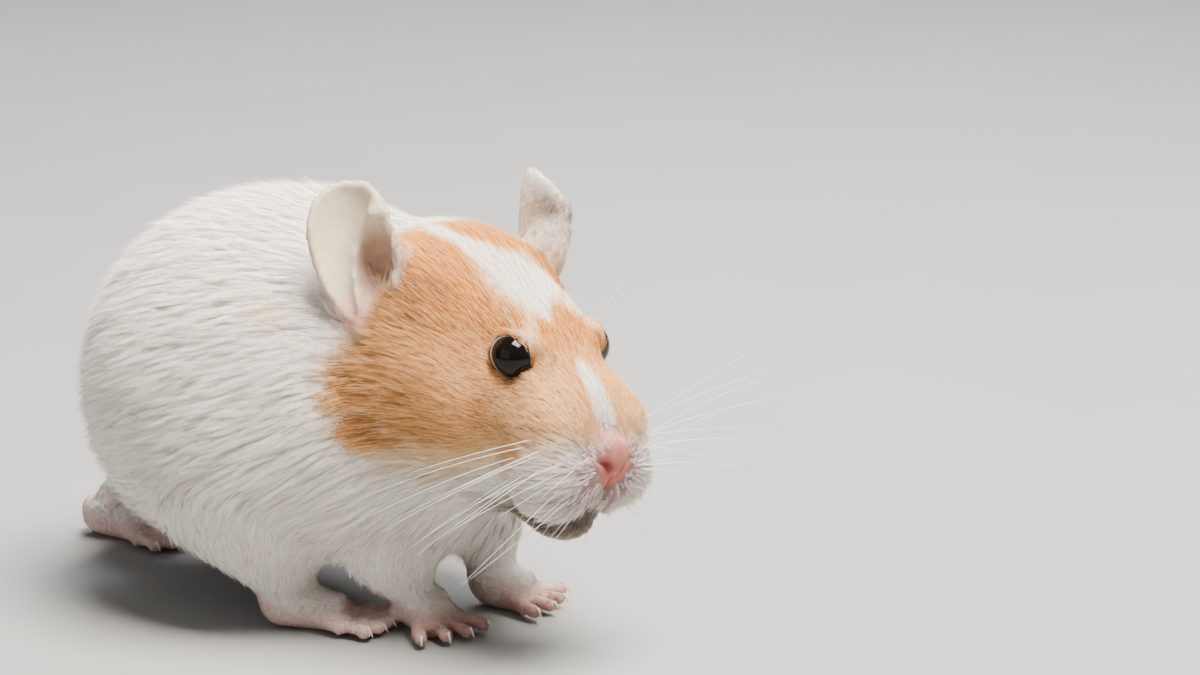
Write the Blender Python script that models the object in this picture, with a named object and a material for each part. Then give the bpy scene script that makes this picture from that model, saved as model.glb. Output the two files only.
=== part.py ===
# Syrian hamster, life size, walking on level ground with its head turned a little to its right.
# The animal faces -Y, its right side is -X, and its feet stand on z = 0.
# It is shaped in millimetres along its own axes (forward, right, up) as blended round masses,
# out to the tips of the coat. The whole is meshed once and then parted into named pieces by thin
# cuts, as a museum model is sawn at the neck and limbs.
import math

import bmesh
import bpy
import numpy as np
from mathutils import Matrix, Vector

MM = 0.001
GAP = 0.3                      # clearance between neighbouring pieces
BODY_STEP = 1.1                # grid step that the body is meshed on
FOOT_STEP = 0.5
BODY_FACES = 2700              # triangles that the whole body keeps
FOOT_FACES = 370

# The head's axes start midway between the eyes: its turn to the right, nose-down pitch and tilt
HEAD_AT = (41.0, 5.4, 36.0)
HEAD_YAW = math.radians(20)
HEAD_PITCH = math.radians(27)
HEAD_ROLL = math.radians(5)

EYE_AT = (0.2, 6.2, 0.0)       # right eye in the head's axes; left ones are mirrored
EYE_RADIUS = 3.1
NOSE_AT = (13.7, 0.0, -4.8)
NOSE_HALF = (2.2, 2.8, 3.2)

EAR_HEIGHT = 17.5
EAR_WIDTH = 9.8
EAR_WALL = 0.9
EAR_CUP = 3.2                  # depth of the hollow
# Each ear: its middle, the way up it and the way back across it, in the head's axes
EARS = {
    "ear_right": ((-20.4, 15.0, 0.5), (-0.58, -0.16, 0.80), (-0.88, 0.42, -0.10)),
    "ear_left": ((-18.4, -12.8, 1.0), (-0.46, 0.04, 0.88), (-0.94, -0.30, -0.10)),
}

# Round masses of the trunk: centre, then half length, half width and half height
TRUNK = {
    "rump": ((0.0, 0.0, 26.5), (24.0, 23.5, 24.0)),
    "belly": ((12.0, 0.0, 25.5), (20.0, 21.0, 18.0)),
    "back": ((8.0, 0.0, 31.5), (20.0, 19.5, 18.5)),
    "chest": ((23.0, 1.0, 24.0), (13.0, 15.5, 16.0)),
    "neck": ((27.0, 3.0, 34.5), (12.5, 12.0, 14.0)),
    "right_thigh": ((5.0, 12.5, 20.5), (12.5, 10.5, 13.0)),
    "left_thigh": ((-10.0, -11.0, 19.5), (12.5, 10.5, 12.5)),
}
# Round masses of the head in its own axes
HEAD = {
    "cranium": ((-14.0, 0.0, -7.5), (14.0, 12.6, 11.2)),
    "forehead": ((-4.0, 0.0, -5.0), (14.0, 8.0, 8.6)),
    "snout": ((6.5, 0.0, -6.6), (8.8, 6.3, 5.9)),
    "throat": ((-5.0, 0.0, -14.0), (12.0, 8.5, 7.5)),
    "chin": ((8.2, 0.0, -14.6), (7.2, 4.8, 4.8)),
}
HEAD_PAIRS = {
    "cheek": ((-7.0, 7.0, -9.5), (12.0, 7.5, 8.5)),
    "whisker_pad": ((11.0, 4.7, -8.7), (5.5, 4.8, 5.3)),
    "bridge_side": ((6.5, 4.6, -3.4), (6.2, 4.0, 4.0)),
    "orbit": ((0.0, 4.8, -0.9), (5.2, 3.1, 4.2)),
}
# Each limb is a chain of joints (forward, right, up) with a radius at each
LIMBS = {
    "fore_leg_right": [((19.0, 9.5, 17.0), 8.0), ((20.5, 8.5, 10.0), 4.6), ((23.4, 6.4, 4.6), 3.0)],
    "fore_leg_left": [((22.0, -8.5, 17.0), 8.0), ((25.5, -7.0, 10.0), 4.5), ((27.0, -5.4, 4.6), 2.9)],
    "hind_leg_right": [((6.0, 12.0, 18.0), 8.5), ((6.0, 13.0, 10.5), 4.6), ((9.3, 12.8, 4.4), 3.2)],
    "hind_leg_left": [((-13.0, -9.0, 16.0), 7.5), ((-23.5, -8.4, 10.0), 4.4), ((-30.0, -8.3, 4.6), 3.0)],
}
# Feet: heel or wrist place on the ground, heading to the right in degrees, length, width, toes
FEET = {
    "fore_foot_right": ((23.4, 6.2), 26.0, 8.2, 7.8, 4),
    "fore_foot_left": ((27.4, -5.2), -8.0, 8.2, 7.8, 4),
    "hind_foot_right": ((8.5, 12.8), -14.0, 13.0, 7.0, 5),
    "hind_foot_left": ((-31.5, -8.4), 4.0, 13.0, 7.0, 5),
}
ANKLE = 5.0                    # height of the cut between each foot and its leg
# Oval cutters that part the legs from the trunk: centre and half sizes
LEG_CUTS = {
    "fore_leg_right": ((22.5, 9.0, 9.0), (6.8, 7.5, 8.5)),
    "fore_leg_left": ((25.0, -8.0, 9.0), (7.0, 7.0, 8.5)),
    "hind_leg_right": ((4.5, 13.0, 15.0), (12.0, 12.0, 14.5)),
    "hind_leg_left": ((-17.0, -9.5, 13.0), (20.0, 10.5, 13.5)),
}
# The neck lies between two slanting cuts, each at this distance from the ground under the rump
NECK_SLANT = math.radians(31)
NECK_YAW = math.radians(8)
NECK_BACK = 36.5
NECK_FRONT = 43.0
JAW_AT = (4.5, 0.0, -12.2)     # upper back edge of the lower jaw in the head's axes
JAW_HALF_WIDTH = 6.0
TAIL_AT = (-20.0, 4.0, 11.5)
TAIL_SLANT = math.radians(30)
TAIL_HALF = (2.0, 2.0, 4.6)

WHITE_COAT = (0.83, 0.80, 0.76)
GINGER_COAT = (0.62, 0.38, 0.19)
EAR_SKIN = (0.72, 0.58, 0.47)
PINK_SKIN = (0.75, 0.47, 0.42)
NOSE_SKIN = (0.78, 0.42, 0.38)
EYE_BLACK = (0.01, 0.008, 0.007)


class Axes:
    """An origin with a forward, right and up direction, all in the world."""

    def __init__(self, origin=(0.0, 0.0, 0.0), yaw=0.0, pitch=0.0, roll=0.0):
        level = np.array([-math.sin(yaw), -math.cos(yaw), 0.0])
        up = np.array([0.0, 0.0, 1.0])
        forward = level * math.cos(pitch) - up * math.sin(pitch)
        crown = level * math.sin(pitch) + up * math.cos(pitch)
        side = np.cross(forward, crown)
        right = side * math.cos(roll) + crown * math.sin(roll)
        crown = crown * math.cos(roll) - side * math.sin(roll)
        self.rows = np.array([forward, right, crown])
        self.origin = np.array([-origin[1], -origin[0], origin[2]])

    def out(self, place):
        return self.origin + np.asarray(place, float) @ self.rows

    def into(self, points):
        return (points - self.origin) @ self.rows.T

    def matrix(self, centre=(0.0, 0.0, 0.0), size=(1.0, 1.0, 1.0)):
        """Places a unit shape at a centre in these axes, its X forward, Y to the left, Z up."""
        columns = np.array([self.rows[0], -self.rows[1], self.rows[2]]).T * np.array(size) * MM
        place = self.out(centre) * MM
        return Matrix([[*columns[k], place[k]] for k in range(3)] + [[0, 0, 0, 1]])


BODY = Axes()
SKULL = Axes(HEAD_AT, HEAD_YAW, HEAD_PITCH, HEAD_ROLL)


def mirrored(place):
    return (place[0], -place[1], place[2])


# Fields: negative inside a shape and positive outside it, in millimetres

def round_mass(points, axes, centre, half):
    local = axes.into(points) - np.array(centre)
    near = np.linalg.norm(local / half, axis=1)
    slope = np.linalg.norm(local / np.square(half), axis=1)
    return near * (near - 1.0) / np.maximum(slope, 1e-6)


def taper(points, start, end, start_radius, end_radius):
    line = end - start
    along = np.clip((points - start) @ line / (line @ line), 0.0, 1.0)
    across = np.linalg.norm(points - start - along[:, None] * line, axis=1)
    return across - start_radius - along * (end_radius - start_radius)


def blend(first, second, softness):
    overlap = np.maximum(softness - np.abs(first - second), 0.0) / softness
    return np.minimum(first, second) - overlap * overlap * softness / 4.0


def blend_all(fields, softness):
    total = fields[0]
    for field in fields[1:]:
        total = blend(total, field, softness)
    return total


def chain_field(points, chain, softness=2.5):
    pieces = []
    for (start, first), (end, second) in zip(chain, chain[1:]):
        pieces.append(taper(points, BODY.out(start), BODY.out(end), first, second))
    return blend_all(pieces, softness)


def head_field(points):
    total = blend_all([round_mass(points, SKULL, *mass) for mass in HEAD.values()], 4.0)
    for centre, half in HEAD_PAIRS.values():
        for place in (centre, mirrored(centre)):
            total = blend(total, round_mass(points, SKULL, place, half), 3.0)
    return total


def body_field(points):
    trunk = blend_all([round_mass(points, BODY, *mass) for mass in TRUNK.values()], 5.0)
    total = blend(trunk, head_field(points), 6.0)
    for chain in LIMBS.values():
        total = blend(total, chain_field(points, chain), 3.5)
    return np.maximum(total, ANKLE + GAP - points[:, 2])


def foot_field(points, leg, foot):
    place, heading, length, width, toes = FEET[foot]
    axes = Axes((*place, 0.0), math.radians(heading))
    sole = length * 0.6
    pad = taper(points, axes.out((0.0, 0.0, 2.6)), axes.out((sole * 0.9, 0.0, 2.0)), 2.8, width * 0.36)
    total = blend(pad, chain_field(points, LIMBS[leg]), 2.0)
    for toe in range(toes):
        spread = toe / (toes - 1) * 2.0 - 1.0
        reach = sole + (length - sole) * (1.0 - 0.3 * spread * spread)
        root = axes.out((sole * 0.75, spread * width * 0.33, 1.8))
        tip = axes.out((reach, spread * width * 0.52, 1.0))
        total = blend(total, taper(points, root, tip, 1.2, 1.05), 0.8)
    return total


# Meshing

def surface_points(inside, value, cells):
    """One point in each grid cell that the surface crosses, in cell units."""
    total = np.zeros((*cells, 3))
    hits = np.zeros(cells)
    for axis in range(3):
        others = [k for k in range(3) if k != axis]
        for shift in ((0, 0), (0, 1), (1, 0), (1, 1)):
            start = np.zeros(3, dtype=int)
            start[others] = shift
            end = start.copy()
            end[axis] = 1
            head = tuple(slice(s, s + c) for s, c in zip(start, cells))
            tail = tuple(slice(s, s + c) for s, c in zip(end, cells))
            crossed = inside[head] != inside[tail]
            part = value[head] / np.where(crossed, value[head] - value[tail], 1.0)
            for k in range(3):
                total[..., k] += np.where(crossed, start[k] + (part if k == axis else 0.0), 0.0)
            hits += crossed
    return total, hits


def meshed(field, low, high, step):
    """Closed quads where the field changes sign."""
    low = np.asarray(low, float)
    cells = np.ceil((np.asarray(high, float) - low) / step).astype(int)
    ticks = [low[k] + step * np.arange(cells[k] + 1) for k in range(3)]
    grid = np.stack(np.meshgrid(*ticks, indexing="ij"), -1).reshape(-1, 3)
    value = field(grid).reshape(cells + 1)
    value[value == 0.0] = 1e-6
    inside = value < 0.0
    total, hits = surface_points(inside, value, cells)
    used = hits > 0
    number = np.full(cells, -1)
    number[used] = np.arange(used.sum())
    verts = low + step * (np.argwhere(used) + total[used] / hits[used][:, None])
    faces = []
    for axis in range(3):
        first, second = [k for k in range(3) if k != axis]
        here = tuple(slice(0 if k == axis else 1, c) for k, c in enumerate(cells))
        there = tuple(slice(1, c + (k == axis)) for k, c in enumerate(cells))
        spots = np.argwhere(inside[here] != inside[there]) + [0 if k == axis else 1 for k in range(3)]
        one = np.eye(3, dtype=int)
        ring = [spots - one[first] - one[second], spots - one[second], spots, spots - one[first]]
        quads = np.stack([number[tuple(corner.T)] for corner in ring], 1)
        outward = inside[tuple(spots.T)] == (axis != 1)
        faces.append(np.where(outward[:, None], quads, quads[:, ::-1]))
    return verts, np.concatenate(faces)


def object_from(name, verts, faces):
    mesh = bpy.data.meshes.new(name)
    mesh.from_pydata((np.asarray(verts) * MM).tolist(), [], np.asarray(faces).tolist())
    mesh.update()
    piece = bpy.data.objects.new(name, mesh)
    bpy.context.collection.objects.link(piece)
    return piece


def applied(piece):
    """The mesh that a piece's modifiers give, kept in their place."""
    graph = bpy.context.evaluated_depsgraph_get()
    mesh = bpy.data.meshes.new_from_object(piece.evaluated_get(graph))
    piece.modifiers.clear()
    piece.data = mesh
    return mesh


def thinned(piece, target):
    triangles = sum(len(face.vertices) - 2 for face in piece.data.polygons)
    thin = piece.modifiers.new("thin", "DECIMATE")
    thin.ratio = min(1.0, target / triangles)
    applied(piece)


def boolean(piece, operation, cutter):
    cut = piece.modifiers.new(operation.lower() + "_" + cutter.name, "BOOLEAN")
    cut.operation = operation
    cut.object = cutter
    cut.solver = "EXACT"


def cutter_from(name, build, matrix):
    """A shape that only cuts, made by a bmesh builder and never shown."""
    shape = bmesh.new()
    build(shape)
    bmesh.ops.transform(shape, matrix=matrix, verts=shape.verts)
    bmesh.ops.recalc_face_normals(shape, faces=shape.faces)
    mesh = bpy.data.meshes.new(name)
    shape.to_mesh(mesh)
    shape.free()
    piece = bpy.data.objects.new(name, mesh)
    piece.hide_render = True
    piece.display_type = "WIRE"
    bpy.context.collection.objects.link(piece)
    return piece


def block(name, axes, low, high):
    low, high = np.array(low, float), np.array(high, float)
    matrix = axes.matrix((low + high) / 2.0, high - low)
    return cutter_from(name, lambda shape: bmesh.ops.create_cube(shape, size=1.0), matrix)


def ball(name, axes, centre, half, segments=16, rings=10):
    def build(shape):
        bmesh.ops.create_uvsphere(shape, u_segments=segments, v_segments=rings, radius=1.0)
    return cutter_from(name, build, axes.matrix(centre, half))


def material(name, colour, roughness):
    finish = bpy.data.materials.new(name)
    finish.use_nodes = True
    shader = finish.node_tree.nodes["Principled BSDF"]
    shader.inputs["Base Color"].default_value = (*colour, 1.0)
    shader.inputs["Roughness"].default_value = roughness
    return finish


def finish(piece, colour, roughness):
    piece.data.materials.clear()
    piece.data.materials.append(material(piece.name, colour, roughness))
    for face in piece.data.polygons:
        face.use_smooth = True


def ear_sheet(name, grow=0.0):
    """Rows of points over the cupped oval flap, and the faces between them."""
    rows, columns = 9, 7
    middle, up, back = [np.array(value) for value in EARS[name]]
    up /= np.linalg.norm(up)
    back -= up * (back @ up)
    back /= np.linalg.norm(back)
    side = math.copysign(1.0, middle[1])
    facing = np.cross(up, back) * -side
    points = []
    for row in range(rows):
        level = math.sin(math.pi * 0.47 * (2.0 * row / (rows - 1) - 1.0))
        half = (EAR_WIDTH / 2.0 + grow) * math.sqrt(1.0 - level * level)
        for column in range(columns):
            across = half * (2.0 * column / (columns - 1) - 1.0)
            hollow = EAR_CUP * (2.0 * across / EAR_WIDTH) ** 2 + 1.2 * level * level - EAR_CUP / 2.0
            place = middle + back * across + facing * hollow + up * level * (EAR_HEIGHT / 2.0 + grow)
            points.append(SKULL.out(place))
    faces = []
    for row in range(rows - 1):
        for column in range(columns - 1):
            first = row * columns + column
            faces.append([first, first + 1, first + columns + 1, first + columns])
    return points, faces


def ear(name):
    flap = object_from(name, *ear_sheet(name))
    slot = object_from(name + "_slot", *ear_sheet(name, GAP))
    for piece, wall in ((flap, EAR_WALL), (slot, EAR_WALL + 2.0 * GAP)):
        shell = piece.modifiers.new("wall", "SOLIDIFY")
        shell.thickness = wall * MM
        shell.offset = 0.0
        shell.use_even_offset = True
        applied(piece)
        turn_out(piece.data)
    slot.hide_render = True
    slot.display_type = "WIRE"
    return flap, slot


def turn_out(mesh):
    shape = bmesh.new()
    shape.from_mesh(mesh)
    bmesh.ops.recalc_face_normals(shape, faces=shape.faces)
    shape.to_mesh(mesh)
    shape.free()


def bedded(name, axes, place, half, colour, roughness):
    """A shown oval set in the body, and the slightly larger cutter that makes room for it."""
    half = np.array(half, float)
    oval = ball(name, axes, place, half, 12, 8)
    oval.hide_render = False
    oval.display_type = "TEXTURED"
    finish(oval, colour, roughness)
    return ball(name + "_room", axes, place, half + GAP, 12, 8)


def part_from(name, whole, inside, outside, colour):
    """One piece of the body: what is left inside some cutters and outside others."""
    piece = bpy.data.objects.new(name, whole.data.copy())
    bpy.context.collection.objects.link(piece)
    for cutter in inside:
        boolean(piece, "INTERSECT", cutter)
    for cutter in outside:
        boolean(piece, "DIFFERENCE", cutter)
    finish(piece, colour, 0.75)
    return piece


def cut_level(mesh, height, upward):
    """Takes off what lies below a height, or above it, and closes the mesh with a flat there."""
    shape = bmesh.new()
    shape.from_mesh(mesh)
    everything = [*shape.verts, *shape.edges, *shape.faces]
    bmesh.ops.bisect_plane(shape, geom=everything, plane_co=(0.0, 0.0, height * MM),
                           plane_no=(0.0, 0.0, upward), clear_outer=True)
    rim = [edge for edge in shape.edges if edge.is_boundary]
    flats = bmesh.ops.holes_fill(shape, edges=rim, sides=0)["faces"]
    bmesh.ops.triangulate(shape, faces=flats)
    shape.to_mesh(mesh)
    shape.free()


def make_feet():
    for leg, (foot, (place, *_)) in zip(LIMBS, FEET.items()):
        centre = BODY.out((*place, 0.0))
        low = centre + [-17.0, -19.0, -3.0]
        high = centre + [17.0, 12.0, ANKLE + 3.0]
        piece = object_from(foot, *meshed(lambda grid: foot_field(grid, leg, foot), low, high, FOOT_STEP))
        thinned(piece, FOOT_FACES)
        cut_level(piece.data, 0.0, -1.0)
        cut_level(piece.data, ANKLE, 1.0)
        finish(piece, PINK_SKIN, 0.6)


def make_body():
    whole = object_from("whole", *meshed(body_field, (-31, -66, 4), (31, 42, 62), BODY_STEP))
    thinned(whole, BODY_FACES)
    slant = Axes((0.0, 0.0, 0.0), NECK_YAW, -NECK_SLANT)
    wide = 60.0
    before_neck = block("before_neck", slant, (-wide, -wide, -wide), (NECK_BACK, wide, wide))
    from_neck = block("from_neck", slant, (NECK_BACK + GAP, -wide, -wide), (NECK_FRONT, wide, wide))
    from_head = block("from_head", slant, (NECK_FRONT + GAP, -wide, -wide), (wide + wide, wide, wide))
    low = np.array(JAW_AT) - (0.0, JAW_HALF_WIDTH, 20.0)
    high = np.array(JAW_AT) + (30.0, JAW_HALF_WIDTH, 0.0)
    jaw = block("jaw_block", SKULL, low, high)
    jaw_gap = block("jaw_gap", SKULL, low - GAP, high + GAP)

    tail_room = bedded("tail", Axes(TAIL_AT, 0.0, TAIL_SLANT), (0.0, 0.0, 0.0), TAIL_HALF, WHITE_COAT, 0.7)
    legs = []
    for name, (centre, half) in LEG_CUTS.items():
        region = ball(name + "_cut", BODY, centre, half)
        legs.append(ball(name + "_room", BODY, centre, np.array(half) + GAP))
        part_from(name, whole, [region, before_neck], [], WHITE_COAT)
    slots = []
    for name in EARS:
        flap, slot = ear(name)
        finish(flap, EAR_SKIN, 0.6)
        slots.append(slot)
    beds = [bedded("nose", SKULL, NOSE_AT, NOSE_HALF, NOSE_SKIN, 0.4)]
    for name, place in (("eye_right", EYE_AT), ("eye_left", mirrored(EYE_AT))):
        beds.append(bedded(name, SKULL, place, np.full(3, EYE_RADIUS), EYE_BLACK, 0.05))
    part_from("trunk", whole, [before_neck], legs + slots + [tail_room], WHITE_COAT)
    part_from("neck", whole, [from_neck], slots, WHITE_COAT)
    part_from("lower_jaw", whole, [from_head, jaw], [], WHITE_COAT)
    part_from("head", whole, [from_head], [jaw_gap] + beds + slots, GINGER_COAT)
    bpy.data.objects.remove(whole, do_unlink=True)


def centre_on_floor():
    """Moves everything so that the origin is under the middle of the animal."""
    graph = bpy.context.evaluated_depsgraph_get()
    corners = []
    for piece in bpy.data.objects:
        if not piece.hide_render:
            seen = piece.evaluated_get(graph).to_mesh()
            corners += [tuple(vert.co) for vert in seen.vertices]
    corners = np.array(corners)
    middle = (corners.min(axis=0) + corners.max(axis=0)) / 2.0
    shift = Vector((-middle[0], -middle[1], 0.0))
    for piece in bpy.data.objects:
        piece.data.transform(Matrix.Translation(shift))
    return shift


def main():
    for old in list(bpy.data.objects):
        bpy.data.objects.remove(old, do_unlink=True)
    make_body()
    make_feet()
    return centre_on_floor()


if __name__ == "__main__":
    main()
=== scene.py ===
# Syrian hamster, life size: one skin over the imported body, a coat of hair tufts, bare ears, nose
# and paws, bright black eyes, claws and whiskers, on a pale studio floor.
import math
from functools import partial

import bmesh
import bpy
import numpy as np
from mathutils import Matrix, Vector, kdtree, noise


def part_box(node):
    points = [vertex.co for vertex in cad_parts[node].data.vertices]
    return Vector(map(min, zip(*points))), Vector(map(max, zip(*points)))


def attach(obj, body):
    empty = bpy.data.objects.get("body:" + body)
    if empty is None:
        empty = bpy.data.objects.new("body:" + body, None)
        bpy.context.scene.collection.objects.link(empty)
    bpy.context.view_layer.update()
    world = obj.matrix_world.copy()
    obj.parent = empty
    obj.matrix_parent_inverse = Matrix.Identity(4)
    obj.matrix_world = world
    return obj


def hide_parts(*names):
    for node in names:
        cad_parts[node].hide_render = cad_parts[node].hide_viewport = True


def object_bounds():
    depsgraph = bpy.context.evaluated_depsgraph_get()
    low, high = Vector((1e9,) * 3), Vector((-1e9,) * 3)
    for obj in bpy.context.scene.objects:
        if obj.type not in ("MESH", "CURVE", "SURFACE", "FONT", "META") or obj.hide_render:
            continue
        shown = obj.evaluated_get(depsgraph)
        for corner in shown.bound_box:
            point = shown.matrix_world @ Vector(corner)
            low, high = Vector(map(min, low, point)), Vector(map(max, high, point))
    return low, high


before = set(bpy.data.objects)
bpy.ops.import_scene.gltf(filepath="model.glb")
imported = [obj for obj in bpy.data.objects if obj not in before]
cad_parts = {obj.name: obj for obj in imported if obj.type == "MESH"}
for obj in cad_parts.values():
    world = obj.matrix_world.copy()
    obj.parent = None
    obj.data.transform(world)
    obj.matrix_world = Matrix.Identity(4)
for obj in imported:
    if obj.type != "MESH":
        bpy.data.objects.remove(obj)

mm = 0.001
sideSigns = {"right": 1.0, "left": -1.0}
cadBox = [list(corner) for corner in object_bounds()]


# sRGB hex to the linear RGBA that shaders take
def linear(hexColour):
    parts = [int(hexColour[k:k + 2], 16) / 255.0 for k in (1, 3, 5)]
    return (*[p / 12.92 if p <= 0.04045 else ((p + 0.055) / 1.055) ** 2.4 for p in parts], 1.0)


# Adds a node with its settings and links. A node given as an input stands for its first live output
def addNode(tree, kind, inputs=None, **settings):
    node = tree.nodes.new(kind)
    for name, value in settings.items():
        setattr(node, name, value)
    for key, value in (inputs or {}).items():
        if isinstance(value, bpy.types.Node):
            value = next(socket for socket in value.outputs if socket.enabled)
        if isinstance(value, bpy.types.NodeSocket):
            tree.links.new(value, node.inputs[key])
        else:
            node.inputs[key].default_value = value
    return node


# Kinds of node that come up again and again
scalarMath = "ShaderNodeMath"
vectorMath = "ShaderNodeVectorMath"
mapRange = "ShaderNodeMapRange"
noiseTexture = "ShaderNodeTexNoise"
storeValue = "GeometryNodeStoreNamedAttribute"


def unit(vectors):
    return vectors / np.maximum(np.linalg.norm(vectors, axis=-1, keepdims=True), 1e-12)


# 0 below the first value, 1 above the second, and a smooth step between them
def ramp(values, low, high):
    share = np.clip((values - low) / (high - low), 0.0, 1.0)
    return share * share * (3.0 - 2.0 * share)


# The other way round: 1 below the first value and 0 above the second
def fall(values, low, high):
    return 1.0 - ramp(values, low, high)


# 1 at the centre, and fading on both sides of it
def bell(values, centre=0.0, width=1.0):
    return np.exp(-((values - centre) / width) ** 2)


# How far places lie from an ellipsoid's middle, in its own half sizes
def reachFrom(places, centre, half=1.0):
    return np.linalg.norm((places - centre) / half, axis=1)


def middle(node):
    low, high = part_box(node)
    return (np.array(low) + np.array(high)) / 2.0


def newObject(name, data):
    piece = bpy.data.objects.new(name, data)
    bpy.context.collection.objects.link(piece)
    return piece


# A finished bmesh as a mesh
def meshOf(name, shape):
    mesh = bpy.data.meshes.new(name)
    shape.to_mesh(mesh)
    shape.free()
    return mesh


# Finds the vertex of a mesh that lies nearest to a point
def vertexTree(mesh):
    tree = kdtree.KDTree(len(mesh.vertices))
    for vert in mesh.vertices:
        tree.insert(vert.co, vert.index)
    tree.balance()
    return tree


# The mesh that an object's modifiers give; the object itself is removed
def bakedMesh(piece):
    graph = bpy.context.evaluated_depsgraph_get()
    mesh = bpy.data.meshes.new_from_object(piece.evaluated_get(graph))
    bpy.data.objects.remove(piece, do_unlink=True)
    return mesh


# The head's own axes, from its eyes and nose: forward, right, up, in mm from midway between the eyes
headSizes = {
    "noseBelow": 19.57,  # degrees from the head's level down to the nose, seen from the eyes
}
eyeMiddles = {"right": middle("eye_right"), "left": middle("eye_left")}
headOrigin = (eyeMiddles["right"] + eyeMiddles["left"]) / 2.0
rightward = unit(eyeMiddles["right"] - eyeMiddles["left"])
toNose = middle("nose") - headOrigin
toNose = unit(toNose - rightward * (toNose @ rightward))
bow = math.radians(headSizes["noseBelow"])
forward = toNose * math.cos(bow) + np.cross(rightward, toNose) * math.sin(bow)
headRows = np.array([forward, rightward, np.cross(rightward, forward)])


def intoHead(points):
    return (points - headOrigin) @ headRows.T / mm


def fromHead(places):
    return headOrigin + np.asarray(places, float) @ headRows * mm


# Camera first: a long lens from the animal's right front, a little above it
cameraSizes = {
    "aimFromHead": (3.79, -4.33, 1.50),  # mm from midway between the eyes
    "turn": -63.0,
    "rise": 14.5,
    "distance": 470.0,
    "lens": 121.26,
}


def makeCamera():
    turn, rise = [math.radians(cameraSizes[key]) for key in ("turn", "rise")]
    back = Vector((math.sin(turn) * math.cos(rise), -math.cos(turn) * math.cos(rise), math.sin(rise)))
    camera = newObject("camera", bpy.data.cameras.new("camera"))
    camera.data.lens = cameraSizes["lens"]
    camera.data.sensor_width = 36.0
    camera.data.clip_start = 0.01
    aim = Vector(headOrigin) + Vector(cameraSizes["aimFromHead"]) * mm
    camera.location = aim + back * cameraSizes["distance"] * mm
    camera.rotation_euler = back.to_track_quat("Z", "Y").to_euler()
    bpy.context.scene.camera = camera


makeCamera()
print("camera ready")


# Ears: thin cups in the head's axes, with a curled rim, a fold and a hollow at the front
earSizes = {
    "height": 17.5,
    "width": 9.8,
    "wall": 0.9,
    "cup": 3.2,
    "bow": 1.2,         # mm that top and lobe stand further forward than the middle
    "egg": 0.27,        # how much wider the top is than the middle
    "lean": 1.0,        # mm that the top lies back, and the lobe forward
    "rimCurl": 0.35,
    "rimWide": 0.10,
    "foldHeight": 1.5,
    "foldWide": 0.14,
    "hollowDepth": 2.4,
    "hollow": ((-0.50, 0.46), (-0.14, 0.50)),   # middle and half size, across and up
    "rows": 60,
    "columns": 40,
    "right": {"middle": (-20.6, 15.0, 0.5), "up": (-0.58, -0.16, 0.80), "back": (-0.88, 0.42, -0.10)},
    "left": {"middle": (-18.6, -12.8, 1.0), "up": (-0.46, 0.04, 0.88), "back": (-0.94, -0.30, -0.10)},
}
# The fold inside the ear, as (from front -1 to back 1, from bottom -1 to top 1)
earFold = [(-0.80, 0.60), (-0.30, 0.34), (0.02, 0.02), (0.08, -0.34), (-0.06, -0.68)]


def segmentDistance(points, start, end):
    start, end = np.array(start, float), np.array(end, float)
    line = end - start
    along = np.clip((points - start) @ line / (line @ line), 0.0, 1.0)
    return np.linalg.norm(points - start - along[:, None] * line, axis=1), along


def pathDistance(points, path):
    return np.min([segmentDistance(points, a, b)[0] for a, b in zip(path, path[1:])], axis=0)


# Axes of one ear in the head's axes: up it, back across it, and the way its inside faces
def earAxes(side):
    plan = earSizes[side]
    up = unit(np.array(plan["up"]))
    back = np.array(plan["back"])
    back = unit(back - up * (back @ up))
    return np.array(plan["middle"]), up, back, np.cross(up, back) * -sideSigns[side]


# Half width of the ear in mm at a level, and how far its sheet stands off its middle plane
def earHalf(level):
    oval = np.sqrt(np.maximum(1.0 - level * level, 0.0))
    return earSizes["width"] / 2.0 * oval * (1.0 + earSizes["egg"] * level)


def earCup(share, level):
    across = 2.0 * earHalf(level) * share / earSizes["width"]
    cup = earSizes["cup"] * (across ** 2 - 0.5) + earSizes["bow"] * level * level
    edge = np.minimum(1.0 - np.abs(share), 1.0 - np.abs(level) * 0.99)
    return cup + earSizes["rimCurl"] * bell(edge, 0.0, earSizes["rimWide"])


# How far the fold stands up from the cup, less the hollow's depth
def earRelief(share, level):
    fold = pathDistance(np.stack([share.ravel(), level.ravel()], 1), earFold).reshape(share.shape)
    (across, halfAcross), (up, halfUp) = earSizes["hollow"]
    dip = ((share - across) / halfAcross) ** 2 + ((level - up) / halfUp) ** 2
    raised = earSizes["foldHeight"] * bell(fold, 0.0, earSizes["foldWide"])
    return raised - earSizes["hollowDepth"] * np.exp(-dip ** 1.5)


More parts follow.
